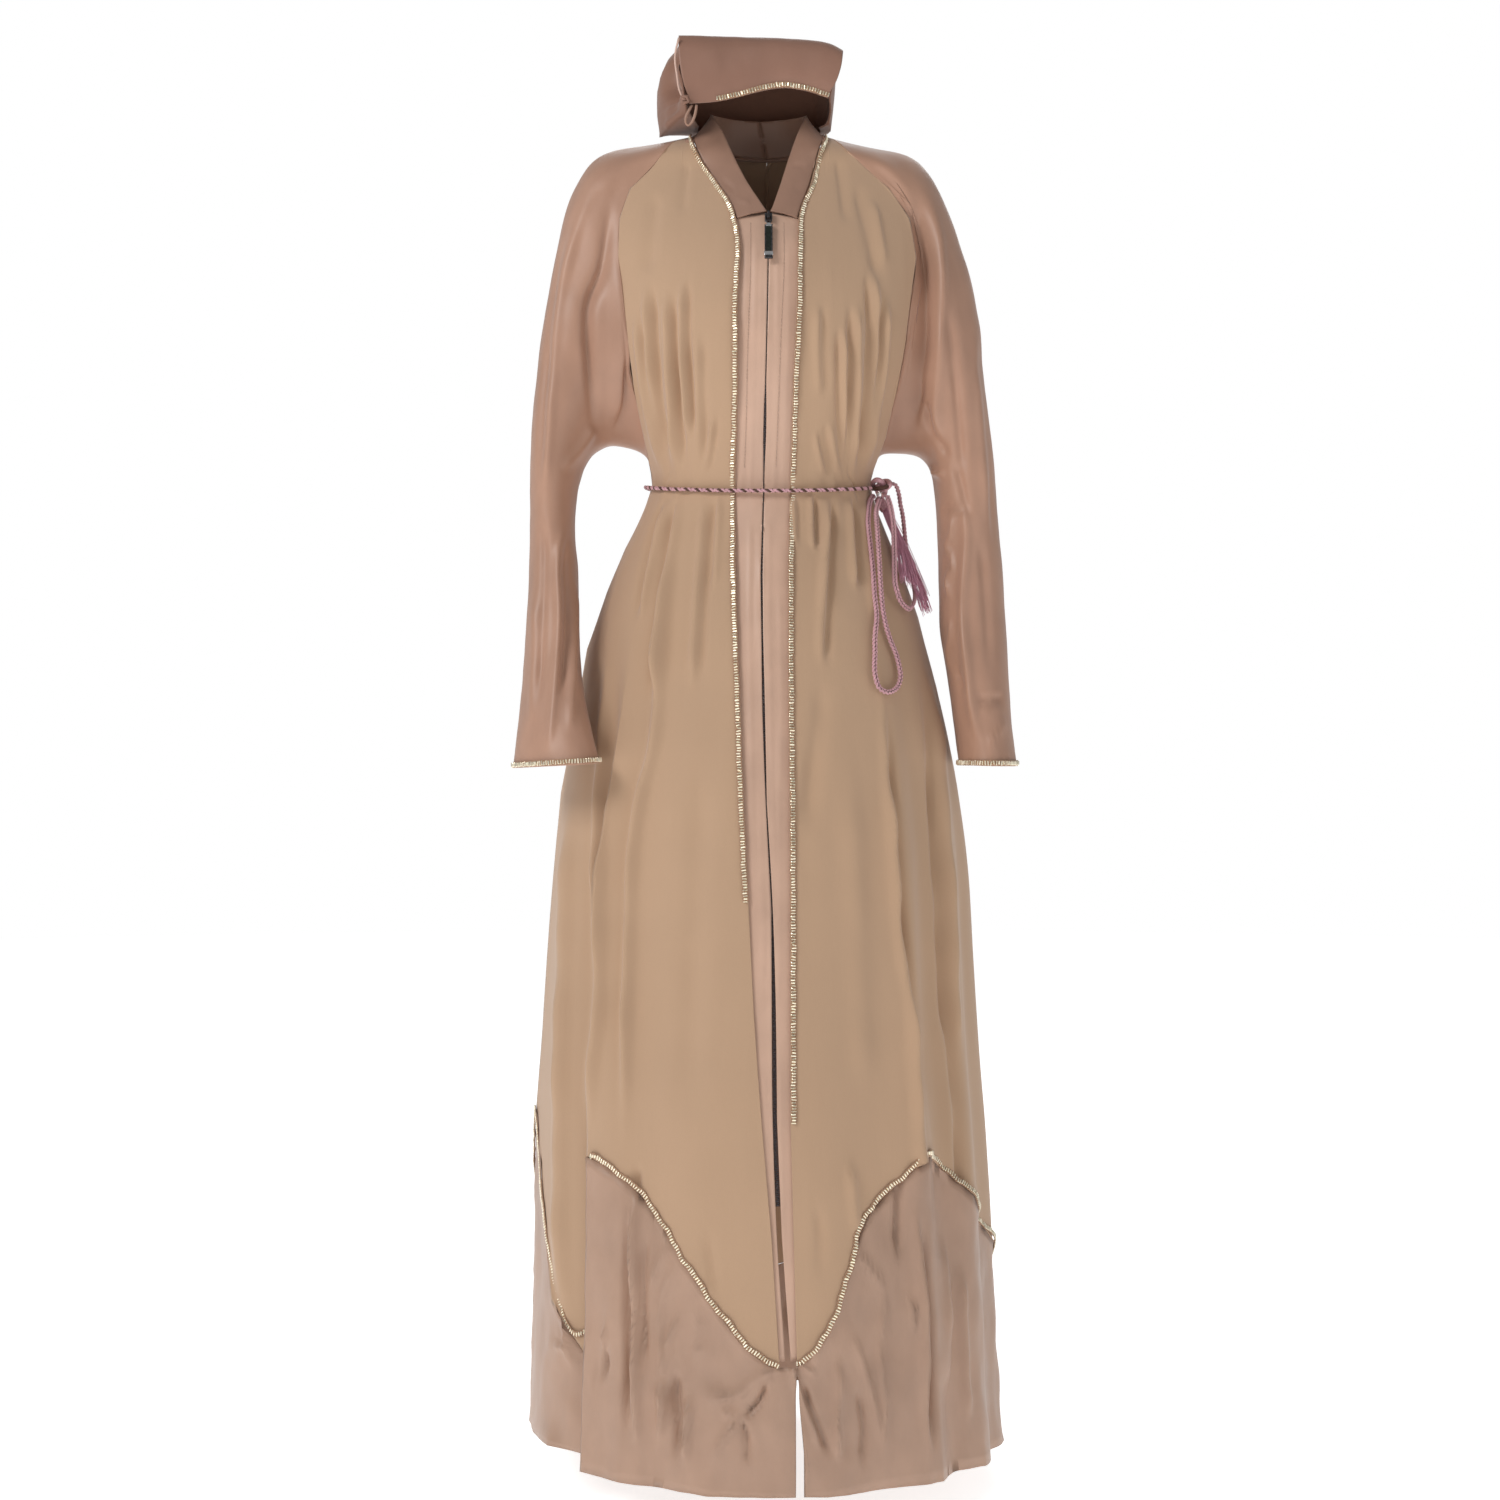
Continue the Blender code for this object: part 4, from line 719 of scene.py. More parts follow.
# The crumpled satin under the pointed edge: short sharp creases that meet at angles
FLOUNCE_CREASES: tuple[Crease, ...] = (
    Crease(((-112, 1268), (-126, 1300), (-134, 1320)), 3, 2.2, Form.SHARP),
    Crease(((-98, 1286), (-116, 1322), (-124, 1352), (-122, 1390), (-128, 1422)), 3, 2.4, Form.SHARP),
    Crease(((-78, 1318), (-82, 1350), (-76, 1378), (-82, 1412)), 2.8, 2.2, Form.SHARP),
    Crease(((-100, 1352), (-112, 1380), (-116, 1402), (-126, 1424)), 3, 2.4, Form.SHARP),
    Crease(((-128, 1426), (-118, 1410), (-104, 1402), (-96, 1390)), 2.6, 1.6, Form.SHARP),
    Crease(((-104, 1420), (-106, 1450), (-100, 1480), (-104, 1515)), 5, -4.4),
    Crease(((-88, 1450), (-94, 1490), (-92, 1525)), 4, 3),
    Crease(((-124, 1430), (-120, 1462), (-124, 1500)), 4, 2.6),
    Crease(((-76, 1440), (-56, 1448), (-34, 1446), (-6, 1424), (18, 1414)), 2.6, 2.4, Form.SHARP),
    Crease(((-62, 1440), (-56, 1462), (-30, 1474)), 2.6, 2, Form.SHARP),
    Crease(((-30, 1474), (-6, 1450), (-2, 1430)), 3, -2.4),
    Crease(((-30, 1474), (-52, 1500), (-62, 1526)), 2.8, 2.2, Form.SHARP),
    Crease(((-30, 1474), (-22, 1500), (-24, 1526)), 3, -2),
    Crease(((10, 1370), (8, 1392), (20, 1412)), 3, 2.6, Form.SHARP),
    Crease(((-150, 1210), (-154, 1290), (-150, 1380), (-154, 1470)), 4, 3.4),
    Crease(((-160, 1240), (-162, 1320), (-160, 1400), (-164, 1500)), 3.6, -3.4),
    Crease(((-140, 1260), (-144, 1340), (-140, 1420)), 3.6, -2.6),
    Crease(((-140, 1420), (-150, 1450), (-148, 1500)), 4, 2.6),
    Crease(((-208, 1372), (-196, 1384), (-180, 1374)), 3, 2.6, Form.SHARP),
    Crease(((-200, 1404), (-190, 1420), (-184, 1400)), 3, -3),
    Crease(((-224, 1340), (-228, 1390), (-216, 1420)), 4, 2.6),
    Crease(((-236, 1230), (-238, 1300), (-232, 1380)), 6, 2.4),
    Crease(((-254, 1386), (-236, 1392), (-220, 1388)), 2.6, 2, Form.SHARP),
    Crease(((86, 1270), (112, 1296), (134, 1316), (154, 1298)), 2.8, 2.6, Form.SHARP),
    Crease(((134, 1316), (134, 1360), (130, 1412), (136, 1460), (132, 1520)), 3.4, 2.8, Form.SHARP),
    Crease(((150, 1170), (152, 1230), (150, 1290)), 4, -3),
    Crease(((42, 1350), (50, 1390), (56, 1408), (66, 1380)), 2.8, 2.4, Form.SHARP),
    Crease(((30, 1372), (34, 1404), (50, 1420), (64, 1416)), 2.6, 2.2, Form.SHARP),
    Crease(((28, 1380), (30, 1420), (46, 1460), (62, 1510)), 4, 3),
    Crease(((40, 1430), (52, 1470), (76, 1520)), 4, -3),
    Crease(((80, 1400), (84, 1440), (80, 1480), (84, 1524)), 3.4, 2.6),
    Crease(((96, 1376), (112, 1420), (124, 1460), (128, 1500)), 3, 2.6, Form.SHARP),
    Crease(((104, 1440), (112, 1480), (108, 1526)), 4, -3),
    Crease(((158, 1350), (170, 1346), (184, 1352)), 2.4, 2, Form.SHARP),
    Crease(((156, 1366), (170, 1362), (182, 1366)), 2.4, 1.8, Form.SHARP),
    Crease(((168, 1230), (176, 1310), (180, 1400), (184, 1500)), 4, 3.2),
    Crease(((178, 1250), (186, 1340), (190, 1440), (192, 1520)), 4, -3.4),
    Crease(((200, 1260), (204, 1360), (202, 1450)), 5, 2.6),
    Crease(((222, 1300), (226, 1400), (232, 1480)), 5, 2.4),
)
# Puckers along the sewn placket
BAND_CREASES: tuple[Crease, ...] = (
    Crease(((-13, 112), (-14, 200), (-17, 325), (-20, 420)), 3, 1.6, fade=0.05),
    Crease(((12, 112), (12, 250), (10, 330), (7, 420)), 3, 1.6, fade=0.05),
    Crease(((-24, 118), (-25, 220), (-28, 330), (-30, 420)), 3, 1.2, fade=0.05),
    Crease(((24, 118), (24, 220), (20, 330), (18, 420)), 3, 1.2, fade=0.05),
    Crease(((-7, 130), (-8, 260), (-11, 380)), 3, 0.9),
    Crease(((19, 120), (19, 240), (16, 330)), 3, 0.8),
    Crease(((-19, 430), (-20, 560), (-18, 700), (-15, 860)), 3, 1.5, fade=0.1),
    Crease(((3, 430), (2, 560), (5, 700), (9, 860)), 3, 1.5, fade=0.1),
    Crease(((-6, 470), (-7, 560), (-5, 640)), 3, 1.2, fade=0.1),
    Crease(((14, 520), (16, 640), (16, 760)), 3, 1.3, fade=0.1),
    Crease(((-8, 440), (-12, 520), (-10, 600)), 3, 1.1),
    Crease(((-10, 700), (-7, 820), (-4, 960), (-2, 1080)), 3.5, 1.4),
    Crease(((10, 620), (13, 760), (14, 900), (12, 1040)), 3.5, 1.3),
    Crease(((0, 900), (-2, 1000), (2, 1120), (6, 1240)), 3.5, -1.6),
    Crease(((16, 1000), (16, 1120), (18, 1240), (20, 1330)), 3.5, 1.5),
    Crease(((-24, 210), (-20, 214), (-14, 213)), 2.5, 0.7),
    Crease(((22, 232), (17, 236), (12, 234)), 2.5, 0.7),
)
COLLAR_CREASES: tuple[Crease, ...] = (
    Crease(((28, 33), (36, 35), (45, 33)), 2.6, -1.2),
    Crease(((30, 60), (38, 64), (42, 60)), 2.6, -1.1),
    Crease(((-54, 50), (-44, 56), (-36, 62)), 3, -0.9),
    Crease(((-38, 70), (-28, 74), (-18, 76)), 2.6, 0.9),
)
HOOD_CREASES: tuple[Crease, ...] = (
    Crease(((-104, -96), (-118, -66), (-127, -38)), 5, 3.5, Form.SHARP),
    Crease(((-100, -60), (-116, -40), (-132, -24)), 5, -4),
    Crease(((-98, -30), (-112, -16), (-126, -10)), 5, 3.5, Form.SHARP),
    Crease(((-92, -108), (-104, -84), (-110, -50), (-104, -16)), 6, -3),
    Crease(((-84, -96), (-112, -62), (-124, -20)), 7, 3),
    Crease(((-40, -112), (-62, -86), (-70, -56)), 7, 2),
    Crease(((20, -112), (48, -88), (60, -56)), 7, 2),
    Crease(((60, -108), (74, -76), (76, -30)), 6, -2.5),
)


class Side(Enum):
    """Which crease lines a piece of cloth takes, and how it faces them."""

    FRONT = "front"
    BACK = "back"
    SLEEVE = "sleeve"
    HOOD = "hood"


@dataclass(frozen=True)
class SleeveAxis:
    """The middle line of one sleeve, as level places down its length in millimetres.

    Attributes:
        drops: How far down each place is.
        across: Its distance to +X.
        depth: Its distance to +Y.
    """

    drops: tuple[float, ...]
    across: tuple[float, ...]
    depth: tuple[float, ...]

    def middle(self, drop: np.ndarray) -> tuple[np.ndarray, np.ndarray]:
        """Places on the line at many drops."""
        return np.interp(drop, self.drops, self.across), np.interp(drop, self.drops, self.depth)


AXIS_DROPS = (40, 200, 370, 430, 480, 640, 720)
RIGHT_AXIS = SleeveAxis(
    drops=AXIS_DROPS,
    across=(-186, -218, -240, -246, -243, -240, -234),
    depth=(0, 0, -10, -20, -30, -78, -110),
)
LEFT_AXIS = SleeveAxis(
    drops=AXIS_DROPS,
    across=(158, 192, 224, 228, 230, 240, 248),
    depth=(0, 0, -12, -18, -24, -42, -58),
)


# How close the soft unevenness of each cloth lies across, deep and down
CHIFFON_RUMPLE = (34.0, 34.0, 9.0)
SATIN_RUMPLE = (26.0, 26.0, 17.0)
# Two faces that meet at more than this have a cut edge between them
RIM_ANGLE = math.radians(50)


@dataclass
class ClothPanel:
    """A wall of cloth that takes the CAD node's form and gets its creases from given lines.

    Attributes:
        node: The CAD node that it replaces.
        finish: Its material.
        side: Which way it faces.
        flat: Its cut's width and length in metres; not used.
        area: Its cut's area in square metres; not used.
        rests_on: What it is sewn to and hangs from; not used.
        creases: The lines pressed into it.
        levels: How finely it is divided.
        rumple: The height of its small random unevenness, in millimetres.
        axis: The sleeve's middle line.
        slot: Which cloth it is, chiffon or satin; it sets how its unevenness is stretched.
        back_creases: The lines pressed into a sleeve's far side.
        depth: How many times deeper its creases are pressed than their lines say.
        soft_corners: Whether its corners are rounded.
    """

    node: str
    finish: Finish
    side: Side
    flat: tuple[float, float]
    area: float
    rests_on: tuple[str, ...]
    creases: tuple[Crease, ...] = ()
    levels: int = 3
    rumple: float = 0.5
    axis: Optional[SleeveAxis] = None
    slot: str = "satin"
    back_creases: tuple[Crease, ...] = ()
    depth: float = 1.0
    soft_corners: bool = False

    def build(self) -> Thing:
        """Builds the panel from its node's form.

        Returns:
            The finished cloth, riding on the garment.
        """
        thing = Bench.copy_of(self.node, "cloth_" + self.node)
        self.hold_rims(thing)
        divide = thing.modifiers.new("divide", "SUBSURF")
        divide.levels = divide.render_levels = self.levels
        divide.use_limit_surface = False
        Bench.apply_all(thing)
        self.press_creases(thing)
        Bench.smooth(thing)
        Bench.paint(thing, self.finish.made())
        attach(thing, GARMENT)
        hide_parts(self.node)
        return thing

    def hold_rims(self, thing: Thing) -> None:
        """Marks the wall's cut edges, so that dividing it keeps them where its neighbours' edges are.

        Args:
            thing: The undivided cloth.
        """
        work = bmesh.new()
        work.from_mesh(thing.data)
        layer = work.edges.layers.float.get("crease_edge") or work.edges.layers.float.new("crease_edge")
        corner = work.verts.layers.float.get("crease_vert") or work.verts.layers.float.new("crease_vert")
        for edge in work.edges:
            if len(edge.link_faces) == 2 and edge.calc_face_angle(0.0) > RIM_ANGLE:
                edge[layer] = 1.0
                if not self.soft_corners:
                    edge.verts[0][corner] = edge.verts[1][corner] = 1.0
        work.to_mesh(thing.data)
        work.free()

    def facing(self, places: np.ndarray) -> tuple[np.ndarray, np.ndarray]:
        """The way out of the cloth at many places, and how much each one faces the front.

        Args:
            places: One row for each place, in metres.

        Returns:
            Level outward directions as rows, and their share towards -Y.
        """
        away = places.copy()
        if self.side is Side.SLEEVE and self.axis is not None:
            across, depth = self.axis.middle(-places[:, 2] / MM)
            away[:, 0] -= across * MM
            away[:, 1] -= depth * MM
            away[:, 2] = 0
        elif self.side is Side.HOOD:
            away -= np.array((-0.01, 0.0, 0.04))
        else:
            away[:, 1] *= 1.1
            away[:, 2] = 0
        away /= np.maximum(np.linalg.norm(away, axis=1, keepdims=True), 1e-6)
        return away, -away[:, 1]

    def press_creases(self, thing: Thing) -> None:
        """Moves both faces of the wall together along the crease lines.

        Args:
            thing: The divided cloth.
        """
        mesh = thing.data
        places = np.empty(len(mesh.vertices) * 3)
        mesh.vertices.foreach_get("co", places)
        places = places.reshape(-1, 3)
        away, front = self.facing(places)
        reach = -CAMERA_PLACE.y / (places[:, 1] - CAMERA_PLACE.y)
        seen_across = (CAMERA_PLACE.x + (places[:, 0] - CAMERA_PLACE.x) * reach) / MM
        seen_drop = -(CAMERA_PLACE.z + (places[:, 2] - CAMERA_PLACE.z) * reach) / MM
        plain_across, plain_drop = places[:, 0] / MM, -places[:, 2] / MM
        push = np.zeros(len(places))
        if self.side is not Side.BACK:
            share = np.clip((front + 0.05) / 0.4, 0, 1)
            for crease in self.creases:
                push += crease.height(seen_across, seen_drop) * share * self.depth
        if self.side is Side.BACK or self.back_creases:
            share = np.clip((-front + 0.05) / 0.4, 0, 1)
            for crease in self.back_creases or self.creases:
                push += crease.height(plain_across, plain_drop) * share * self.depth
        push += self.rumple * self.unevenness(places)
        places += away * (push * MM)[:, None]
        mesh.vertices.foreach_set("co", places.ravel())
        mesh.update()

    def unevenness(self, places: np.ndarray) -> np.ndarray:
        """Small soft unevenness of hanging cloth, from about -1 to 1."""
        stretch = CHIFFON_RUMPLE if self.slot == "chiffon" else SATIN_RUMPLE
        scaled = places * np.array(stretch)
        return np.array([noise.noise(Vector(row)) + 0.5 * noise.noise(Vector(row) * 2.3) for row in scaled])


@dataclass(frozen=True)
class Station:
    """One cross-section of a strip or cord.

    Attributes:
        centre: Its middle.
        across: The direction of its width.
        out: The direction away from the cloth under it.
    """

    centre: Vector
    across: Vector
    out: Vector


class StripReader:
    """Reads the cross-sections of a CAD strip from its mesh, ring by ring."""

    def __init__(self, node: str, sides: int, closed: bool) -> None:
        """Merges the node's triangles.

        Args:
            node: The CAD node's name.
            sides: How many corners each cross-section has.
            closed: Whether the strip is a ring with no ends.
        """
        self.sides = sides
        self.closed = closed
        self.work = bmesh.new()
        self.work.from_mesh(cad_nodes()[node].data)
        bmesh.ops.remove_doubles(self.work, verts=self.work.verts, dist=MERGE_REACH)
        self.work.verts.ensure_lookup_table()

    def far_corner(self) -> bmesh.types.BMVert:
        """A corner at one end: the one most steps away from the first corner."""
        edge = [self.work.verts[0]]
        seen = set(edge)
        while True:
            ahead = {e.other_vert(v) for v in edge for e in v.link_edges} - seen
            if not ahead:
                return min(edge, key=lambda v: v.index)
            edge = list(ahead)
            seen |= ahead

    def rings(self) -> list[list[Vector]]:
        """The corners of every cross-section, in order along the strip.

        Returns:
            One list of corners for each cross-section.
        """
        first = self.far_corner()
        ring = sorted(self.work.verts, key=lambda v: (v.co - first.co).length)[: self.sides]
        seen = set(ring)
        found = [[vertex.co.copy() for vertex in ring]]
        while True:
            beside = {e.other_vert(v) for v in ring for e in v.link_edges} - seen
            if not beside:
                break
            if len(beside) > self.sides:
                lead = min(beside, key=lambda v: v.co.x)
                beside = set(sorted(beside, key=lambda v: (v.co - lead.co).length)[: self.sides])
            ring = sorted(beside, key=lambda v: v.index)
            seen |= beside
            found.append([vertex.co.copy() for vertex in ring])
        self.work.free()
        return found

    def stations(self, outward: Callable[[Vector], Vector]) -> list[Station]:
        """The strip's cross-sections with their directions.

        Args:
            outward: Gives the rough way out at a place.

        Returns:
            The stations in order.
        """
        centres = [sum(ring, Vector()) / len(ring) for ring in self.rings()]
        made = []
        last = len(centres) - 1
        for index, centre in enumerate(centres):
            before = centres[index - 1] if index or self.closed else centre
            after = centres[(index + 1) % len(centres)] if index < last or self.closed else centre
            along = (after - before).normalized()
            out = outward(centre)
            out = (out - along * out.dot(along)).normalized()
            across = along.cross(out).normalized()
            made.append(Station(centre, across, across.cross(along)))
        return made


# How far a strand's map runs for each metre of its length
STRAND_MAP = 120


class ShapeList:
    """Collects many small shapes into one mesh."""

    def __init__(self) -> None:
        """Starts with nothing."""
        self.places: list[Vector] = []
        self.faces: list[tuple[int, ...]] = []
        self.looks: list[int] = []
        self.maps: list[list[tuple[float, float]]] = []

    def add_copy(self, shape: Shape, moved: Matrix, look: int = 0) -> None:
        """Adds a copy of a small shape.

        Args:
            shape: Its corners and faces.
            moved: Where the copy goes.
            look: Its material's number.
        """
        start = len(self.places)
        self.places += [moved @ corner for corner in shape[0]]
        for face in shape[1]:
            self.faces.append(tuple(start + index for index in face))
            self.looks.append(look)
            self.maps.append([(0.0, 0.0)] * len(face))

    def add_tube(self, route: Sequence[Vector], radius: Callable[[float], float], sides: int,
                 closed: bool = False, look: int = 0) -> None:
        """Adds a tube along a route, with a strand map and flat ends.

        Args:
            route: The points of its middle line, in metres.
            radius: Its radius at a share of its length.
            sides: How many sides it has.
            closed: Whether it comes back to its start.
            look: Its material's number.
        """
        count = len(route)
        start = len(self.places)
        first = (route[1] - route[0]).normalized()
        normal = first.orthogonal().normalized()
        gone = 0.0
        lengths = []
        for index, centre in enumerate(route):
            before = route[index - 1] if index or closed else centre
            after = route[(index + 1) % count] if index < count - 1 or closed else centre
            along = (after - before).normalized()
            normal = (normal - along * normal.dot(along)).normalized()
            binormal = along.cross(normal)
            size = radius(index / max(1, count - 1))
            for side in range(sides):
                angle = 2 * math.pi * side / sides
                self.places.append(centre + (normal * math.cos(angle) + binormal * math.sin(angle)) * size)
            lengths.append(gone)
            gone += (route[(index + 1) % count] - centre).length
        for index in range(count if closed else count - 1):
            ahead = (index + 1) % count
            for side in range(sides):
                beside = (side + 1) % sides
                self.faces.append((start + index * sides + side, start + index * sides + beside,
                                   start + ahead * sides + beside, start + ahead * sides + side))
                self.looks.append(look)
                low, high = side / sides, (side + 1) / sides
                near = lengths[index] * STRAND_MAP
                far = (lengths[index] + (route[ahead] - route[index]).length) * STRAND_MAP
                self.maps.append([(low, near), (high, near), (high, far), (low, far)])
        if not closed:
            end = start + (count - 1) * sides
            self.faces.append(tuple(start + side for side in reversed(range(sides))))
            self.faces.append(tuple(end + side for side in range(sides)))
            self.looks += [look, look]
            self.maps += [[(0.0, 0.0)] * sides, [(0.0, 0.0)] * sides]

    def finish(self, name: str, *looks: Look) -> Thing:
        """Makes the collected shapes one object.

        Args:
            name: The piece's name.
            looks: Its materials.

        Returns:
            The new object at the origin.
        """
        mesh = bpy.data.meshes.new(name)
        mesh.from_pydata([tuple(place) for place in self.places], [], self.faces)
        layer = mesh.uv_layers.new(name="strand")
        layer.data.foreach_set("uv", [value for face in self.maps for corner in face for value in corner])
        thing = Bench.new(name, mesh)
        Bench.paint(thing, *looks)
        mesh.polygons.foreach_set("material_index", self.looks)
        mesh.update()
        return thing


class BeadShop:
    """Models the small shapes that are copied many times."""

    @staticmethod
    def taken(thing: Thing) -> Shape:
        """Takes a modelled shape's corners and faces and removes its object."""
        Bench.settle(thing)
        corners = [vertex.co.copy() for vertex in thing.data.vertices]
        faces = [tuple(face.vertices) for face in thing.data.polygons]
        bpy.data.objects.remove(thing)
        return corners, faces

    @classmethod
    def bar_bead(cls) -> Shape:
        """A short cut bar with bevelled ends, a millimetre each way, lying along X."""
        bpy.ops.object.select_all(action="DESELECT")
        bpy.ops.mesh.primitive_cylinder_add(vertices=6, radius=0.5, depth=1, rotation=(0, math.pi / 2, 0))
        thing = bpy.context.active_object
        Bench.settle(thing)
        for vertex in thing.data.vertices:
            vertex.co.x *= 0.74
        bpy.ops.object.mode_set(mode="EDIT")
        bpy.ops.mesh.select_mode(type="FACE")
        bpy.ops.mesh.select_all(action="DESELECT")
        bpy.ops.object.mode_set(mode="OBJECT")
        for face in thing.data.polygons:
            face.select = abs(face.normal.x) > 0.9
        bpy.ops.object.mode_set(mode="EDIT")
        bpy.ops.mesh.extrude_region_move(TRANSFORM_OT_translate={"value": (0, 0, 0)})
        bpy.ops.mesh.select_all(action="DESELECT")
        bpy.ops.object.mode_set(mode="OBJECT")
        for face in thing.data.polygons:
            if abs(face.normal.x) > 0.9 and face.area > 0.3:
                for index in face.vertices:
                    corner = thing.data.vertices[index].co
                    corner.x = math.copysign(0.5, corner.x)
                    corner.y *= 0.6
                    corner.z *= 0.6
        return cls.taken(thing)

    @classmethod
    def zip_tooth(cls) -> Shape:
        """One zip tooth, bevelled all round, a millimetre each way."""
        bpy.ops.object.select_all(action="DESELECT")
        bpy.ops.mesh.primitive_cube_add(size=1)
        thing = bpy.context.active_object
        bevel = thing.modifiers.new("round", "BEVEL")
        bevel.width = 0.16
        bevel.segments = 1
        Bench.apply_all(thing)
        return cls.taken(thing)


def frame_of(across: Vector, along: Vector, out: Vector, place: Vector, size: Vector) -> Matrix:
    """A matrix that sets a shape at a place, turned and sized.

    Args:
        across: Where the shape's X goes.
        along: Where its Y goes.
        out: Where its Z goes.
        place: Its middle.
        size: Its size along each of these, in metres.

    Returns:
        The matrix.
    """
    turned = Matrix((across * size.x, along * size.y, out * size.z)).transposed().to_4x4()
    turned.translation = place
    return turned


# How far the trim on the pointed edge and the straight ones sway to each side, in millimetres
EDGE_WAVE = 1.7
STRAIGHT_WAVE = 0.3
# The lengths of the two waves that the sway is made of, in millimetres
LONG_WAVE = 9
SHORT_WAVE = 3.7
# The ribbon's section as shares of its width and thickness
RIBBON_PROFILE: Line = (
    (-0.5, -0.3), (-0.5, 0.25), (-0.36, 0.5), (0.0, 0.38), (0.36, 0.5), (0.5, 0.25), (0.5, -0.3),
)


@dataclass
class BeadedTrim:
    """A narrow ribbon sewn with a column of bar beads, like the rungs of a ladder.

    Attributes:
        node: The CAD strip that it replaces.
        closed: Whether it is a ring.
        outward: Gives the way out at a place.
        ribbon_step: The distance between the ribbon's sections.
        ribbon_wide: Its width.
        ribbon_thick: Its thickness.
        bead_pitch: From one bead to the next.
        bead_long: A bead's length across the ribbon.
        bead_thick: Its thickness.
        seed: Where the beads' unevenness starts.
        wave: How far the trim sways to each side, in millimetres.
    """

    node: str
    closed: bool = False
    outward: Callable[[Vector], Vector] = outward_of
    ribbon_step: float = 3.2 * MM
    ribbon_wide: float = 6.3 * MM
    ribbon_thick: float = 1.1 * MM
    bead_pitch: float = 3.1 * MM
    bead_long: float = 5.2 * MM
    bead_thick: float = 2.0 * MM
    seed: int = 7
    wave: float = 0.0

    def line(self, step: float) -> list[Station]:
        """Even stations along the strip.

        Args:
            step: The wanted distance between them, in metres.

        Returns:
            The stations.
        """
        rough = StripReader(self.node, 4, self.closed).stations(self.outward)
        centres = [station.centre for station in rough]
        places = smoothed(centres, step, self.closed)
        made = []
        count = len(places)
        nearest = 0
        for index, place in enumerate(places):
            while (nearest < len(rough) - 1
                   and (centres[nearest + 1] - place).length < (centres[nearest] - place).length):
                nearest += 1
            before = places[index - 1] if index or self.closed else place
            after = places[(index + 1) % count] if index < count - 1 or self.closed else place
            along = (after - before).normalized()
            out = rough[nearest].out
            out = (out - along * out.dot(along)).normalized()
            across = along.cross(out).normalized()
            gone = index * step / MM
            sway = math.sin(gone / LONG_WAVE) * 0.65 + math.sin(gone / SHORT_WAVE + 1.3) * 0.35
            made.append(Station(place + across * sway * self.wave * MM, across, out))
        return made

    def build(self) -> Thing:
        """Builds the ribbon and its beads as one piece.

        Returns:
            The trim, riding on the garment.
        """
        shapes = ShapeList()
        self.add_ribbon(shapes)
        self.add_beads(shapes)
        thing = shapes.finish("beaded_" + self.node, TRIM_GROUND.made(), GOLD_BEADS.made())
        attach(thing, GARMENT)
        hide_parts(self.node)
        return thing

    def add_ribbon(self, shapes: ShapeList) -> None:
        """Adds the ribbon with its rounded, scalloped edges."""
        stations = self.line(self.ribbon_step)
        start = len(shapes.places)
        for index, station in enumerate(stations):
            scallop = 1.0 + 0.05 * (1 if index % 2 else -1)
            for side, high in RIBBON_PROFILE:
                aside = station.across * side * self.ribbon_wide * scallop
                shapes.places.append(station.centre + aside + station.out * high * self.ribbon_thick)
        corners = len(RIBBON_PROFILE)
        count = len(stations)
        for index in range(count if self.closed else count - 1):
            ahead = (index + 1) % count
            for corner in range(corners):
                beside = (corner + 1) % corners
                shapes.faces.append((start + index * corners + corner, start + ahead * corners + corner,
                                     start + ahead * corners + beside, start + index * corners + beside))
                shapes.looks.append(0)
                shapes.maps.append([(0.0, 0.0)] * 4)
        if not self.closed:
            end = start + (count - 1) * corners
            shapes.faces.append(tuple(start + corner for corner in range(corners)))
            shapes.faces.append(tuple(end + corner for corner in reversed(range(corners))))
            shapes.looks += [0, 0]
            shapes.maps += [[(0.0, 0.0)] * corners] * 2

    def add_beads(self, shapes: ShapeList) -> None:
        """Adds the column of bar beads, a little uneven in size and turn."""
        chance = random.Random(self.seed)
        bar = BeadShop.bar_bead()
        for station in self.line(self.bead_pitch):
            along = station.out.cross(station.across)
            tilt = Matrix.Rotation(chance.gauss(0, 0.12), 3, station.out)
            roll = Matrix.Rotation(chance.gauss(0, 0.3), 3, station.across)
            long = self.bead_long * chance.uniform(0.8, 1.06)
            thick = self.bead_thick * chance.uniform(0.85, 1.1)
            place = station.centre + station.across * chance.gauss(0, 0.25) * MM + station.out * 0.8 * MM
            moved = frame_of(tilt @ station.across, tilt @ roll @ along, tilt @ roll @ station.out,
                             place, Vector((long, thick, thick)))
            shapes.add_copy(bar, moved, 1)


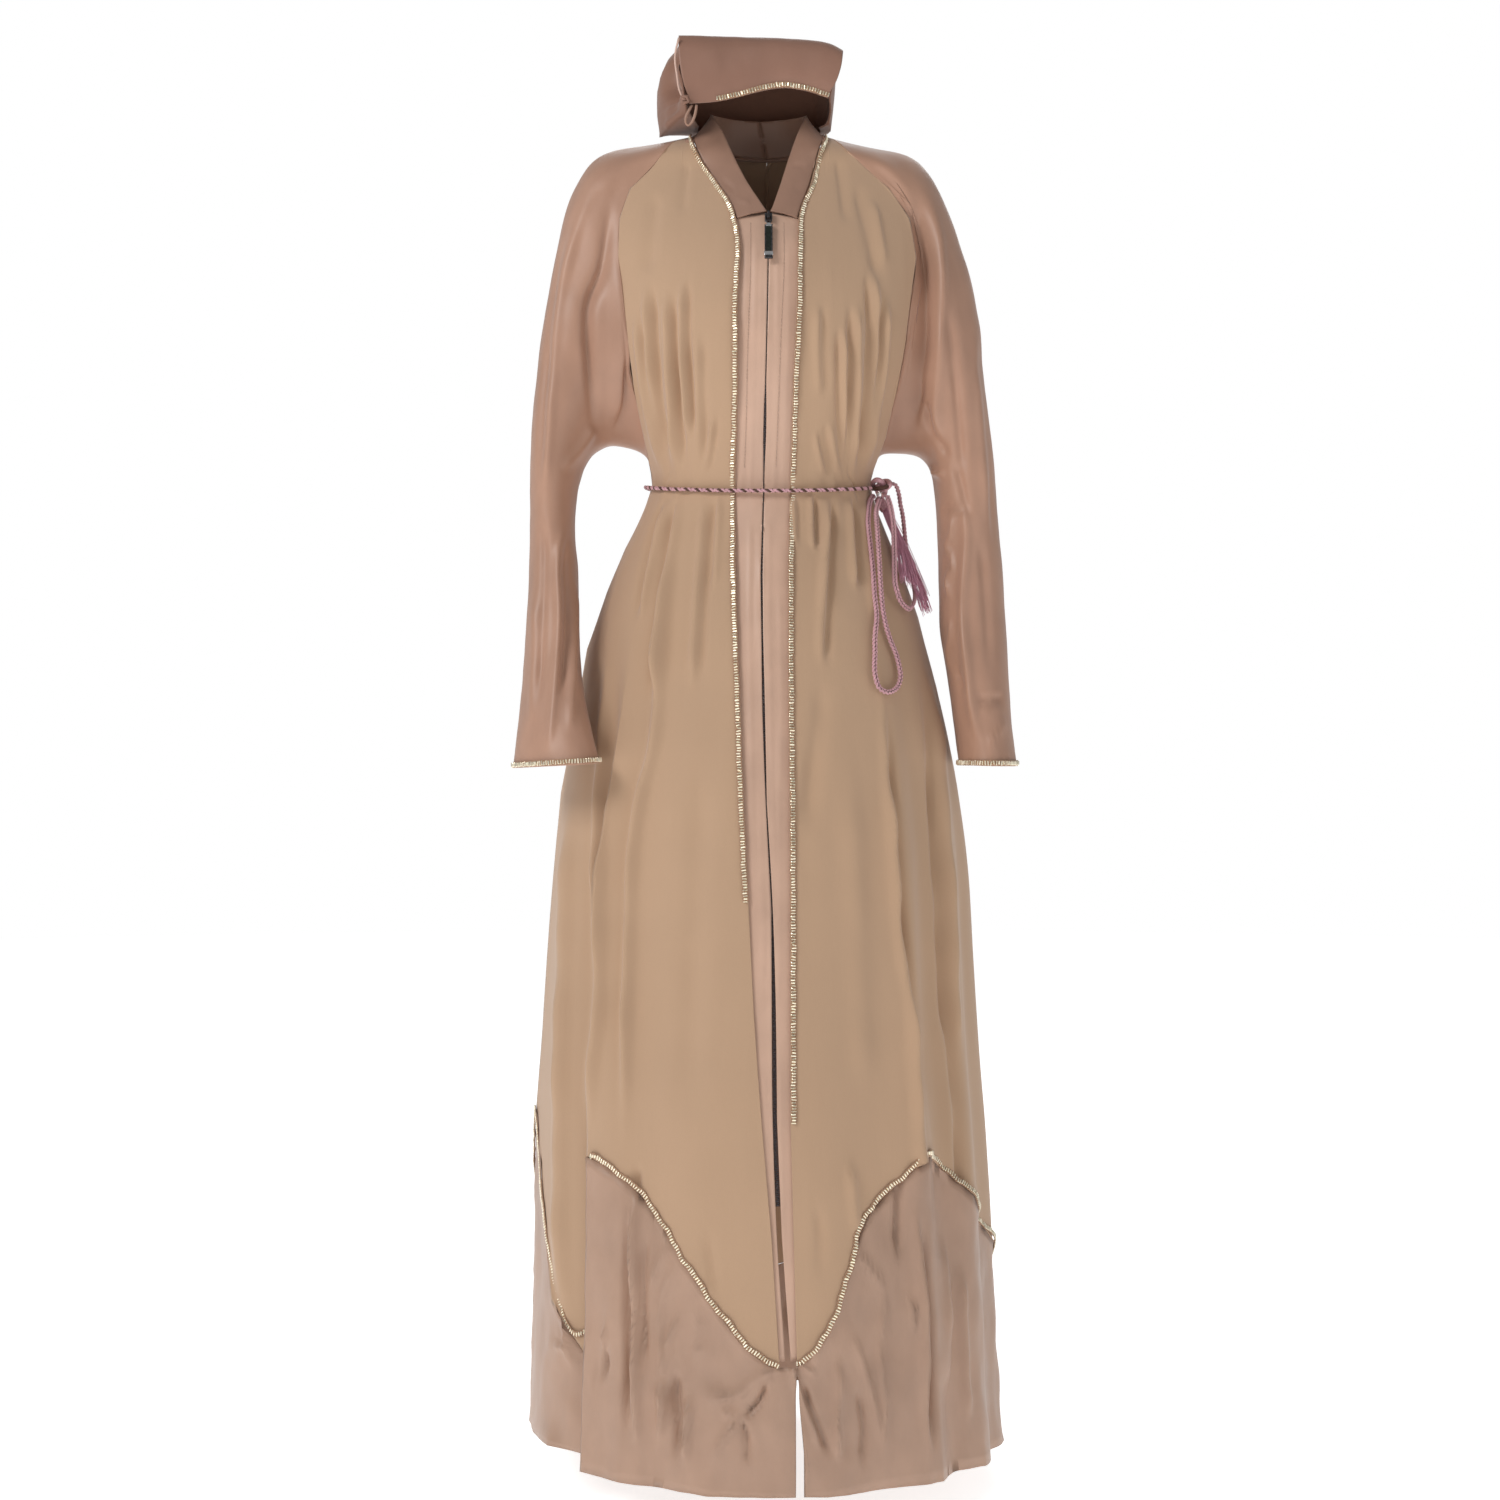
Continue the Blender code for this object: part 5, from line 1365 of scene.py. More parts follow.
@dataclass
class Plait:
    """A three-strand plait round a dark core.

    Attributes:
        diameter: The cord's width in metres; not used.
        pitch: The length of one full crossing of a strand.
        sway: How far the strands swing to each side.
        lift: How far they rise over each other.
        strand: A strand's radius.
        core: The core's radius.
        steps: How many steps one crossing has.
        dark_strands: How many strands are of the dark cord.
    """

    diameter: float = 6.5 * MM
    pitch: float = 13.5 * MM
    sway: float = 1.85 * MM
    lift: float = 0.95 * MM
    strand: float = 1.35 * MM
    core: float = 1.7 * MM
    steps: int = 14
    dark_strands: int = 0

    def add(self, shapes: ShapeList, route: list[Vector], face: Vector, closed: bool = False) -> None:
        """Adds the plait along a route.

        Args:
            shapes: Where the mesh is collected.
            route: The points of its middle line.
            face: The way its broad side faces at the start.
            closed: Whether it comes back to its start.
        """
        total = sum((b - a).length for a, b in zip(route, route[1:]))
        turns = max(1, round(total / self.pitch))
        fine = smoothed(route, total / (turns * self.steps), closed)
        count = len(fine)
        normal = face
        frames = []
        for index, centre in enumerate(fine):
            before = fine[index - 1] if index or closed else centre
            after = fine[(index + 1) % count] if index < count - 1 or closed else centre
            along = (after - before).normalized()
            normal = (normal - along * normal.dot(along)).normalized()
            frames.append((centre, along.cross(normal), normal))
        middle = fine[::2] + ([] if closed or count % 2 else [fine[-1]])
        shapes.add_tube(middle, lambda _share: self.core, 6, closed, 1)
        for strand in range(3):
            look = 1 if strand < self.dark_strands else 0
            line = []
            for index, (centre, across, out) in enumerate(frames):
                phase = math.tau * (index * turns / max(1, count - 1) + strand / 3)
                aside = across * math.sin(phase) * self.sway
                line.append(centre + aside + out * math.sin(2 * phase) * self.lift)
            shapes.add_tube(line, lambda _share: self.strand, 7, closed, look)


LONG_LOOP: Route = (
    (121.5, -34.5, -415.6), (117.5, -41, -420.5), (115.5, -51, -427), (114, -61, -438), (113.2, -72, -452),
    (115.3, -84, -478), (117.4, -95.5, -505), (118.5, -106, -531), (120.6, -114, -557), (118.3, -123, -580),
    (118, -128.5, -599), (117.4, -134.5, -618), (120.9, -138, -634), (127, -136, -640), (134.5, -131, -641),
    (142.8, -120, -636), (147, -112, -625), (146, -109, -613), (142.4, -108, -598.5), (136.4, -109, -584),
    (131, -110, -567), (127.6, -108, -548), (125.6, -102, -521), (124.3, -93, -490), (123, -80, -460),
    (122.5, -63, -438), (126, -44, -425), (128, -34, -419),
)
SHORT_LOOP: Route = (
    (136.4, -34.4, -416.2), (140.3, -42, -431), (142.6, -52, -452), (142.8, -60, -468), (142.6, -70, -488),
    (142.3, -86, -516), (144.9, -89, -529), (148.3, -87, -538), (154.8, -79, -545), (160.2, -68, -546),
    (165.5, -52, -539), (168, -33, -526), (165.5, -16, -508), (161.5, -6, -485), (158.5, -5, -462),
    (156, -6, -438), (153, -9, -424), (151, -11, -412), (147.5, -15.5, -402.5), (143, -19.3, -400.8),
)


@dataclass
class TasselBelt:
    """The braided belt round the waist with its knot, bead, two hanging loops and tassel.

    Attributes:
        knot: The knot's middle.
        knot_size: How far its turns reach across, out and up, in millimetres.
        knot_cord: The radius of the cord that it is tied from.
        wrap_size: How far the turn round it reaches.
        wrap_cord: The radius of that turn's cord.
        bead: The cut bead's middle.
        bead_radius: Its radius.
        head_top: Where the tassel's wrapped head starts.
        head_low: Where it ends and the threads leave it.
        head_across: The head's longer direction across.
        strand_ends: Places round which the threads end, in millimetres.
        strands: How many threads the tassel has.
        strand_radius: A thread's radius.
        sag: How far a thread bends down in its middle.
    """

    knot: Vector = field(default_factory=lambda: Vector((130, -28, -405)) * MM)
    knot_size: Triple = (3.5, 6.5, 3.4)
    knot_cord: float = 3.0 * MM
    wrap_size: Triple = (9.5, 10.5, 3)
    wrap_cord: float = 2.6 * MM
    bead: Vector = field(default_factory=lambda: Vector((127, -41.9, -415.2)) * MM)
    bead_radius: float = 3.6 * MM
    head_top: Vector = field(default_factory=lambda: Vector((127.1, -19.2, -417.6)) * MM)
    head_low: Vector = field(default_factory=lambda: Vector((135.2, -22.2, -431.0)) * MM)
    head_across: Vector = field(default_factory=lambda: Vector((0.197, 0.98, 0.0)))
    strand_ends: Route = (
        (152.1, -69.7, -512.1), (158.7, -62.4, -514.7), (164.8, -54.7, -517.4), (179.4, -47.3, -547.8),
        (181.7, -36.2, -543.6), (179.7, -24.6, -532.6),
    )
    strands: int = 168
    strand_radius: float = 0.42 * MM
    sag: float = 7 * MM

    def build_loop(self, name: str, route: Route) -> Thing:
        """Builds one hanging loop as a free cord.

        Args:
            name: Which loop it is.
            route: Its points in millimetres.

        Returns:
            The plaited loop.
        """
        line = smoothed([Vector(place) * MM for place in route], 3 * MM)
        shapes = ShapeList()
        Plait().add(shapes, line, Vector((0.3, -1, 0.2)).normalized())
        thing = shapes.finish("plait_loop_" + name, PINK_CORD.made(), DARK_CORD.made())
        Bench.smooth(thing)
        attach(thing, GARMENT)
        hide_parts("belt_loop_" + name)
        return thing

    def build_waist(self) -> Thing:
        """Builds the belt round the waist along its CAD node's middle line."""
        rings = StripReader("belt_cord", 8, False).rings()
        route = [sum(ring, Vector()) / len(ring) for ring in rings]
        LOG.info("belt is read as %d rings of %s corners", len(rings), sorted({len(ring) for ring in rings}))
        shapes = ShapeList()
        Plait(dark_strands=1).add(shapes, route, Vector((0, 0, 1)))
        thing = shapes.finish("plait_belt", PINK_CORD.made(), DARK_CORD.made())
        Bench.smooth(thing)
        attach(thing, GARMENT)
        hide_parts("belt_cord")
        return thing

    def build_knot(self) -> Thing:
        """Builds the overhand knot as turns of cord through each other."""
        shapes = ShapeList()
        line = []
        for step in range(72):
            t = math.tau * step / 72
            across = math.sin(t) + 2 * math.sin(2 * t)
            up = math.cos(t) - 2 * math.cos(2 * t)
            deep = -math.sin(3 * t)
            wide, thick, high = self.knot_size
            line.append(self.knot + Vector((across * wide, deep * thick, up * high)) * MM)
        shapes.add_tube(line, lambda _share: self.knot_cord, 10, True, 0)
        wrap = []
        for step in range(40):
            t = math.tau * step / 40
            wide, thick, high = self.wrap_size
            turned = Vector((math.cos(t) * wide, math.sin(t) * thick, math.sin(t + 0.6) * high))
            wrap.append(self.knot + turned * MM)
        shapes.add_tube(wrap, lambda _share: self.wrap_cord, 9, True, 1)
        thing = shapes.finish("cord_knot", PINK_CORD.made(), DARK_CORD.made())
        Bench.smooth(thing)
        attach(thing, GARMENT)
        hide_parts("belt_knot")
        return thing

    def build_bead(self) -> Thing:
        """Builds the bright cut bead with its faces inset."""
        bpy.ops.object.select_all(action="DESELECT")
        bpy.ops.mesh.primitive_uv_sphere_add(segments=10, ring_count=7, radius=self.bead_radius,
                                             location=self.bead)
        thing = bpy.context.active_object
        thing.name = "cut_bead"
        bpy.ops.object.mode_set(mode="EDIT")
        bpy.ops.mesh.select_all(action="SELECT")
        bpy.ops.mesh.inset(thickness=0.18 * MM, depth=0.12 * MM, use_individual=True)
        bpy.ops.object.mode_set(mode="OBJECT")
        Bench.settle(thing)
        Bench.paint(thing, BRIGHT_METAL.made())
        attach(thing, GARMENT)
        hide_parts("belt_bead")
        return thing

    def build_tassel(self) -> Thing:
        """Builds the bound head and its fine strands in two bunches."""
        chance = random.Random(11)
        shapes = ShapeList()
        axis = self.head_low - self.head_top
        down = axis.normalized()
        out = self.head_across.cross(down).normalized()
        if out.y > 0:
            out = -out
        core = [self.head_top + axis * share for share in (-0.1, 0.1, 0.35, 0.7, 1.0, 1.15)]
        shapes.add_tube(core, lambda share: (3.2 + 2.2 * math.sin(math.pi * min(1, share * 0.9))) * MM,
                        12, False, 1)
        for turn in range(8):
            middle = self.head_top + axis * (turn / 7.5)
            size = 3.9 + 1.6 * math.sin(math.pi * (0.15 + 0.7 * turn / 8))
            ring = []
            for step in range(20):
                t = math.tau * step / 20
                around = self.head_across * math.cos(t) * size * 1.1 + out * math.sin(t) * size
                ring.append(middle + around * MM)
            shapes.add_tube(ring, lambda _share: 0.95 * MM, 6, True, 1)
        for index in range(self.strands):
            column = index % len(self.strand_ends)
            spread = chance.uniform(-0.5, 0.5)
            root = self.head_low + self.head_across * ((column + 0.5 + spread) / 6 - 0.5) * 10.5 * MM
            root += out * chance.uniform(-3.5, 3.5) * MM - down * 2 * MM
            end = Vector(self.strand_ends[column]) * MM
            goal = end + Vector([chance.gauss(0, 2.7) for _ in range(3)]) * MM
            goal.z -= chance.uniform(-4, 3) * MM
            side = (goal - self.head_low).cross(self.head_across).normalized()
            if side.y > 0:
                side = -side
            points = []
            wave = chance.uniform(0, math.tau)
            for step in range(9):
                share = step / 8
                bend = math.sin(math.pi * share) * self.sag * chance.uniform(0.92, 1.08)
                ripple = math.sin(wave + share * 7) * 0.6 * MM
                hang = side * bend * 0.6 + Vector((0, 0, -bend * 0.35))
                points.append(root.lerp(goal, share) + hang + out * ripple)
            shapes.add_tube(smoothed(points, 6 * MM),
                            lambda share: self.strand_radius * (1.1 - 0.35 * share), 5)
        thing = shapes.finish("thread_tassel", TASSEL_THREAD.made(), PINK_CORD.made())
        Bench.smooth(thing)
        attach(thing, GARMENT)
        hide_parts("tassel")
        return thing

    def build(self) -> list[Thing]:
        """Builds everything on the belt but its free loops."""
        return [self.build_waist(), self.build_knot(), self.build_bead(), self.build_tassel()]


# Where the pull hangs from the slider, in millimetres, and the ways down it and out from it
PULL_START = Vector((1.0, -95.7, -112.0))
PULL_DOWN = Vector((0, -0.41, -0.912))
PULL_OUT = Vector((0, -0.912, 0.41))
PULL_REST_OUT = 4.3


@dataclass
class FrontZip:
    """The zip behind the placket: teeth, woven tape, slider and pull.

    Attributes:
        tooth_pitch: From one tooth to the next, in millimetres.
        tooth_aside: How far each row of teeth lies from the zip's middle.
        tooth_size: A tooth's size across, along and out.
        teeth_from: The drop at which the teeth start.
        teeth_to: The drop at which they end.
        line: The zip's middle line, as places (across, drop).
    """

    tooth_pitch: float = 2.3
    tooth_aside: float = 0.55
    tooth_size: Triple = (2.6, 1.3, 1.2)
    teeth_from: float = 122.0
    teeth_to: float = 1352.0
    line: Line = (
        (1, 112), (0.5, 166), (-3, 343), (-4, 416), (-6.5, 541), (-4.5, 613), (-4.5, 699), (-1.5, 772),
        (4, 860), (6, 972), (7, 1130), (14, 1260), (21, 1358),
    )

    def middle(self, drop: float) -> float:
        """How far the zip's middle is to +X at a drop, in millimetres."""
        return float(np.interp(drop, [place[1] for place in self.line], [place[0] for place in self.line]))

    def build_teeth(self) -> Thing:
        """Builds the two rows of teeth along the gap between the bands."""
        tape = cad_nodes()["zip_tape"]
        tree = BVHTree.FromObject(tape, bpy.context.evaluated_depsgraph_get())
        tooth = BeadShop.zip_tooth()
        shapes = ShapeList()
        count = int((self.teeth_to - self.teeth_from) / self.tooth_pitch)
        for index in range(count):
            drop = self.teeth_from + index * self.tooth_pitch
            across = self.middle(drop)
            hit, normal, _, _ = tree.ray_cast(Vector((across * MM, -1.0, -drop * MM)), Vector((0, 1, 0)))
            if hit is None:
                continue
            side = self.tooth_aside if index % 2 else -self.tooth_aside
            place = hit + Vector((side * MM, 0, 0)) + normal * self.tooth_aside * MM
            right = Vector((1, 0, 0))
            size = Vector(self.tooth_size) * MM
            shapes.add_copy(tooth, frame_of(right, right.cross(normal), normal, place, size))
        thing = shapes.finish("zip_teeth", GUNMETAL.made())
        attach(thing, GARMENT)
        return thing

    def along_pull(self, across: float, out: float, down: float) -> Vector:
        """A place on the hanging pull.

        Args:
            across: How far it is to +X of the pull's middle, in millimetres.
            out: How far it stands out from the zip.
            down: How far down the pull it is.

        Returns:
            The place in metres.
        """
        return (PULL_START + Vector((across, 0, 0)) + PULL_OUT * out + PULL_DOWN * down) * MM

    def boxed(self, name: str, centre: Triple, size: Triple,
              rounding: float) -> Thing:
        """Models one rounded bar of the slider or its pull.

        Args:
            name: The bar's name.
            centre: Its middle (across, out, down) in millimetres.
            size: Its size along each of these.
            rounding: How far its edges are bevelled, in millimetres.

        Returns:
            The bar.
        """
        bpy.ops.object.select_all(action="DESELECT")
        bpy.ops.mesh.primitive_cube_add(size=1)
        thing = bpy.context.active_object
        thing.name = name
        thing.matrix_world = frame_of(Vector((1, 0, 0)), PULL_OUT, PULL_DOWN, self.along_pull(*centre),
                                      Vector(size) * MM)
        Bench.settle(thing)
        bevel = thing.modifiers.new("round", "BEVEL")
        bevel.width = rounding * MM
        bevel.segments = 2
        Bench.apply_all(thing)
        work = bmesh.new()
        work.from_mesh(thing.data)
        bmesh.ops.recalc_face_normals(work, faces=work.faces)
        work.to_mesh(thing.data)
        work.free()
        return thing

    def ringed(self, name: str, centre: Triple, wide: float, high: float,
               thick: float) -> Thing:
        """Models one oval wire ring that lies flat on the pull's face.

        Args:
            name: The ring's name.
            centre: Its middle (across, out, down) in millimetres.
            wide: Its width.
            high: Its length down the pull.
            thick: The wire's thickness.

        Returns:
            The ring.
        """
        route = []
        for step in range(24):
            turn = math.tau * step / 24
            route.append(self.along_pull(centre[0] + wide / 2 * math.cos(turn), centre[1],
                                         centre[2] + high / 2 * math.sin(turn)))
        shapes = ShapeList()
        shapes.add_tube(route, lambda _share: thick / 2 * MM, 8, True)
        thing = shapes.finish(name, GUNMETAL.made())
        Bench.smooth(thing)
        return thing

    def joined(self, name: str, body: str, node: str,
               parts: list[tuple[Thing, Finish]]) -> Thing:
        """Joins bars and rings into one piece that replaces a CAD node.

        Args:
            name: The new piece's name.
            body: The body that it rides on.
            node: The CAD node that it replaces.
            parts: The bars and rings with their finishes.

        Returns:
            The finished piece.
        """
        for part, finish in parts:
            Bench.paint(part, finish.made())
        bpy.ops.object.select_all(action="DESELECT")
        for part, _ in parts:
            part.select_set(True)
        first = parts[0][0]
        bpy.context.view_layer.objects.active = first
        bpy.ops.object.join()
        first.name = name
        first.data.name = name
        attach(first, body)
        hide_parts(node)
        return first

    def build_slider(self) -> Thing:
        """Builds the slider: a rounded body with a crown bridge over it."""
        return self.joined("slider_body", GARMENT, "zip_slider", [
            (self.boxed("body", (0, 0.4, 0), (8.6, 4.4, 11), 1.3), GUNMETAL),
            (self.boxed("bridge", (0, 6.6, 0), (2.6, 1.5, 9), 0.6), GUNMETAL),
            (self.boxed("post_top", (0, 4.3, -3.6), (2.4, 5.4, 1.8), 0.4), GUNMETAL),
            (self.boxed("post_low", (0, 4.3, 3.6), (2.4, 5.4, 1.8), 0.4), GUNMETAL),
        ])

    def build_pull(self) -> Thing:
        """Builds the pull: a ring and a link, then a framed dark plate with a bright bar at its end."""
        out = PULL_REST_OUT
        return self.joined("pull_plate", PULL_TAB, "zip_pull", [
            (self.boxed("hinge_bar", (0, out, 0), (8.0, 1.6, 1.6), 0.4), GUNMETAL),
            (self.ringed("ring", (0, out, 5.4), 6.4, 11.0, 1.5), GUNMETAL),
            (self.boxed("link", (0, out, 12.4), (4.6, 1.7, 4.2), 0.5), BRIGHT_METAL),
            (self.boxed("rail_left", (3.7, out, 30.5), (1.5, 1.8, 36), 0.35), GUNMETAL),
            (self.boxed("rail_right", (-3.7, out, 30.5), (1.5, 1.8, 36), 0.35), GUNMETAL),
            (self.boxed("rail_top", (0, out, 13.6), (8.2, 1.8, 2.2), 0.35), BRIGHT_METAL),
            (self.boxed("plate", (0, out - 0.2, 30.5), (6.6, 1.0, 34.5), 0.25), PLATE_METAL),
            (self.boxed("end_bar", (0, out, 51.0), (10.2, 3.0, 5.4), 0.8), BRIGHT_METAL),
            (self.boxed("end_foot", (0, out, 55.8), (9.4, 2.6, 3.6), 0.8), GUNMETAL),
        ])

    def build_tape(self) -> Thing:
        """Gives the tape's own piece its weave."""
        thing = Bench.copy_of("zip_tape", "woven_zip_tape")
        Bench.paint(thing, TAPE_GROUND.made())
        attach(thing, GARMENT)
        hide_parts("zip_tape")
        return thing

    def build(self) -> list[Thing]:
        """Builds the zip's pieces."""
        return [self.build_teeth(), self.build_tape(), self.build_slider(), self.build_pull()]


@dataclass
class Stitching:
    """A row of sewn stitches laid on a finished piece of cloth.

    Attributes:
        name: The row's name.
        cloth: The piece it is sewn on.
        line: Places (across, drop) in millimetres, as plain distances.
        pitch: From one stitch to the next, in millimetres.
        long: How long each stitch is, in millimetres.
        thick: The thread's radius, in millimetres.
        lift: How far its middle lies over the cloth.
        crown: How much higher it is in the middle of a stitch.
    """

    name: str
    cloth: Thing
    line: Line
    pitch: float = 4.0
    long: float = 3.0
    thick: float = 0.36
    lift: float = 0.12
    crown: float = 0.22

    def build(self) -> Thing:
        """Builds the row of stitches."""
        tree = BVHTree.FromObject(self.cloth, bpy.context.evaluated_depsgraph_get())
        places = smoothed([Vector((x, y, 0)) for x, y in self.line], self.pitch)
        shapes = ShapeList()
        for place, after in zip(places, places[1:]):
            points = []
            for share in (0.0, 0.5, 1.0):
                flat = place.lerp(after, share * self.long / self.pitch)
                start = Vector((flat.x * MM, -1.0, -flat.y * MM))
                hit, normal, _, _ = tree.ray_cast(start, Vector((0, 1, 0)))
                if hit is not None:
                    lift = self.lift + (self.crown if share == 0.5 else 0.0)
                    points.append(hit + normal * lift * MM)
            if len(points) == 3:
                shapes.add_tube(points, lambda _share: self.thick * MM, 5)
        thing = shapes.finish(self.name, SEWING_THREAD.made())
        Bench.smooth(thing)
        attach(thing, GARMENT)
        return thing


# How the rolls over the neck seam and the centre back seam are found, in millimetres and degrees
NECK_ROLL_FRONT = -34
NECK_ROLL_LOW = -30
NECK_ROLL_STEP = 7
NECK_ROLL_IN = 1.1
NECK_ROLL_UP = 0.8
BACK_ROLL_STEP = 12
BACK_ROLL_REACH = 6
BACK_ROLL_END = 380
# The radii of the rolls, the piping and its knot, in millimetres
NECK_ROLL_RADIUS = 2.3
COLLAR_ROLL_RADIUS = 1.3
BACK_ROLL_RADIUS = 2.2
PIPING_RADIUS = 1.15
PIPING_KNOT_RADIUS = 2.3
# The brim's light piping on the wearer's right, and the small knot that ends it
BRIM_PIPING: Route = (
    (-99.5, -70, 95.0), (-103.9, -70.5, 73.9), (-101.6, -71.5, 52.1), (-98.5, -73, 34.1),
    (-91.0, -74, 21.0),
)
PIPING_KNOT: Route = (
    (-96.0, -75.5, 27.5), (-90.5, -77.5, 27.0), (-89.0, -75.0, 22.0), (-94.0, -76.5, 20.5),
    (-97.0, -74.0, 24.0), (-92.0, -78.0, 25.0),
)
# The collar's seam at the centre back
COLLAR_SEAM: Route = ((-9.8, 52.0, 29.0), (-4.7, 56.6, 8.6), (-0.1, 57.4, -13.5))


@dataclass
class SeamRoll:
    """A thin roll of cloth over a seam: the neck seam, the centre back seam and the brim's piping.

    Attributes:
        radius: The roll's radius in millimetres.
        finish: Its material.
    """

    radius: float
    finish: Finish

    def neck_route(self) -> list[Vector]:
        """The panels' edge round the sides and back of the neck, in order, drawn in towards the collar."""
        nearest: dict[int, Vector] = {}
        for node in ("back_left", "back_right", "front_left", "front_right"):
            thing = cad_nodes()[node]
            for vertex in thing.data.vertices:
                place = thing.matrix_world @ vertex.co
                if place.y < NECK_ROLL_FRONT * MM or place.z < NECK_ROLL_LOW * MM:
                    continue
                turn = round(math.degrees(math.atan2(place.x, place.y)) / NECK_ROLL_STEP)
                if turn not in nearest or place.xy.length < nearest[turn].xy.length:
                    nearest[turn] = place
        route = []
        for turn in sorted(nearest):
            place = nearest[turn]
            out = Vector((place.x, place.y, 0)).normalized()
            route.append(place - out * NECK_ROLL_IN * MM + Vector((0, 0, NECK_ROLL_UP * MM)))
        return route

    def back_route(self) -> list[Vector]:
        """The inner edge of the centre back seam, from the neck down to the waist."""
        nearest: dict[int, Vector] = {}
        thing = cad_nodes()["back_left"]
        for vertex in thing.data.vertices:
            place = thing.matrix_world @ vertex.co
            level = round(place.z / (BACK_ROLL_STEP * MM))
            if abs(place.x) > BACK_ROLL_REACH * MM or place.z < -BACK_ROLL_END * MM:
                continue
            if level not in nearest or place.y < nearest[level].y:
                nearest[level] = place
        return [nearest[level] for level in sorted(nearest, reverse=True)]

    def build(self, name: str, route: Sequence[Vector]) -> Thing:
        """Builds one roll along a route.

        Args:
            name: The roll's name.
            route: Its points in metres.

        Returns:
            The roll, riding on the garment.
        """
        shapes = ShapeList()
        shapes.add_tube(smoothed(list(route), 6 * MM), lambda _share: self.radius * MM, 10)
        thing = shapes.finish(name, self.finish.made())
        Bench.smooth(thing)
        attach(thing, GARMENT)
        return thing


@dataclass
class Cloak:
    """The sewn cloth of the garment, piece by piece.

    Attributes:
        panels: The finished pieces of cloth by their nodes.
    """

    panels: dict[str, Thing] = field(default_factory=dict)

    def plan(self) -> list[ClothPanel]:
        """Every sheet of cloth with its cut."""
        front = {"creases": FRONT_CREASES, "slot": "chiffon", "depth": 2.3}
        back = {"creases": BACK_CREASES, "levels": 2, "slot": "chiffon", "depth": 2.2}
        flounce = {"creases": FLOUNCE_CREASES, "rumple": 2.4, "depth": 3.0}
        sleeve = {"creases": SLEEVE_CREASES, "back_creases": SLEEVE_BACK_CREASES, "depth": 1.9, "rumple": 0.9}
        collar = {"creases": COLLAR_CREASES, "rumple": 0.3}
        band = {"creases": BAND_CREASES, "rumple": 0.35, "depth": 0.5}
        return [
            ClothPanel("front_right", CHIFFON_TOP, Side.FRONT, (0.36, 1.36), 0.334,
                       ("collar_right", "back_right"), **front),
            ClothPanel("front_left", CHIFFON_TOP, Side.FRONT, (0.34, 1.36), 0.291,
                       ("collar_left", "back_left"), **front),
            ClothPanel("back_right", CHIFFON_TOP, Side.BACK, (0.42, 1.36), 0.348, ("collar_right",), **back),
            ClothPanel("back_left", CHIFFON_TOP, Side.BACK, (0.42, 1.36), 0.340, ("collar_left",), **back),
            ClothPanel("skirt_front_right", SATIN_FLOUNCE, Side.FRONT, (0.42, 0.37), 0.109,
                       ("front_right",), **flounce),
            ClothPanel("skirt_front_left", SATIN_FLOUNCE, Side.FRONT, (0.39, 0.37), 0.0995,
                       ("front_left",), **flounce),
            ClothPanel("skirt_back_right", SATIN_FLOUNCE, Side.BACK, (0.42, 0.34), 0.102,
                       ("back_right",), **flounce),
            ClothPanel("skirt_back_left", SATIN_FLOUNCE, Side.BACK, (0.40, 0.34), 0.092,
                       ("back_left",), **flounce),
            ClothPanel("sleeve_right", SATIN_SLEEVE, Side.SLEEVE, (0.36, 0.75), 0.2025,
                       ("front_right", "back_right"), axis=RIGHT_AXIS, **sleeve),
            ClothPanel("sleeve_left", SATIN_SLEEVE, Side.SLEEVE, (0.36, 0.75), 0.195,
                       ("front_left", "back_left"), axis=LEFT_AXIS, **sleeve),
            ClothPanel("hood_shell", CHIFFON_HOOD, Side.HOOD, (0.48, 0.16), 0.057,
                       ("collar_right", "collar_left"), HOOD_CREASES, slot="chiffon", rumple=1.4, depth=2.2),
            ClothPanel("hood_brim", SATIN_BRIM, Side.HOOD, (0.19, 0.085), 0.0132, ("hood_shell",),
                       rumple=1.0, soft_corners=True),
            ClothPanel("collar_right", SATIN_COLLAR, Side.FRONT, (0.26, 0.06), 0.0091,
                       ("front_right", "hood_shell"), **collar),
            ClothPanel("collar_left", SATIN_COLLAR, Side.FRONT, (0.24, 0.06), 0.0082,
                       ("front_left", "hood_shell"), **collar),
            ClothPanel("band_right", SATIN_BAND, Side.FRONT, (0.055, 1.4), 0.051, ("front_right",), **band),
            ClothPanel("band_left", SATIN_BAND, Side.FRONT, (0.05, 1.4), 0.040, ("front_left",), **band),
        ]

    def build(self) -> None:
        """Builds all the cloth."""
        for panel in self.plan():
            self.panels[panel.node] = panel.build()
            LOG.info("%s has %d corners", panel.node, len(self.panels[panel.node].data.vertices))

    def build_tie(self) -> Thing:
        """Builds the small ribbon loop at the hood's edge."""
        thing = Bench.copy_of("hood_tie", "ribbon_tie")
        divide = thing.modifiers.new("divide", "SUBSURF")
        divide.levels = divide.render_levels = 1
        Bench.apply_all(thing)
        Bench.smooth(thing)
        Bench.paint(thing, SATIN_COLLAR.made())
        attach(thing, GARMENT)
        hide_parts("hood_tie")
        return thing

    def build_trims(self) -> list[Thing]:
        """Builds every beaded trim."""
        made = []
        for node in ("front_trim_left", "front_trim_right", "edge_trim_front_left",
                     "edge_trim_front_right", "edge_trim_back_left", "edge_trim_back_right", "hood_trim"):
            wave = EDGE_WAVE if node.startswith("edge") else STRAIGHT_WAVE
            made.append(BeadedTrim(node, wave=wave).build())
        for node in ("cuff_trim_left", "cuff_trim_right"):
            low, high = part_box(node)
            middle = (Vector(low) + Vector(high)) / 2

            def outward(place: Vector, centre: Vector = middle) -> Vector:
                """The way out of the cuff at one place."""
                return (place - centre).normalized()

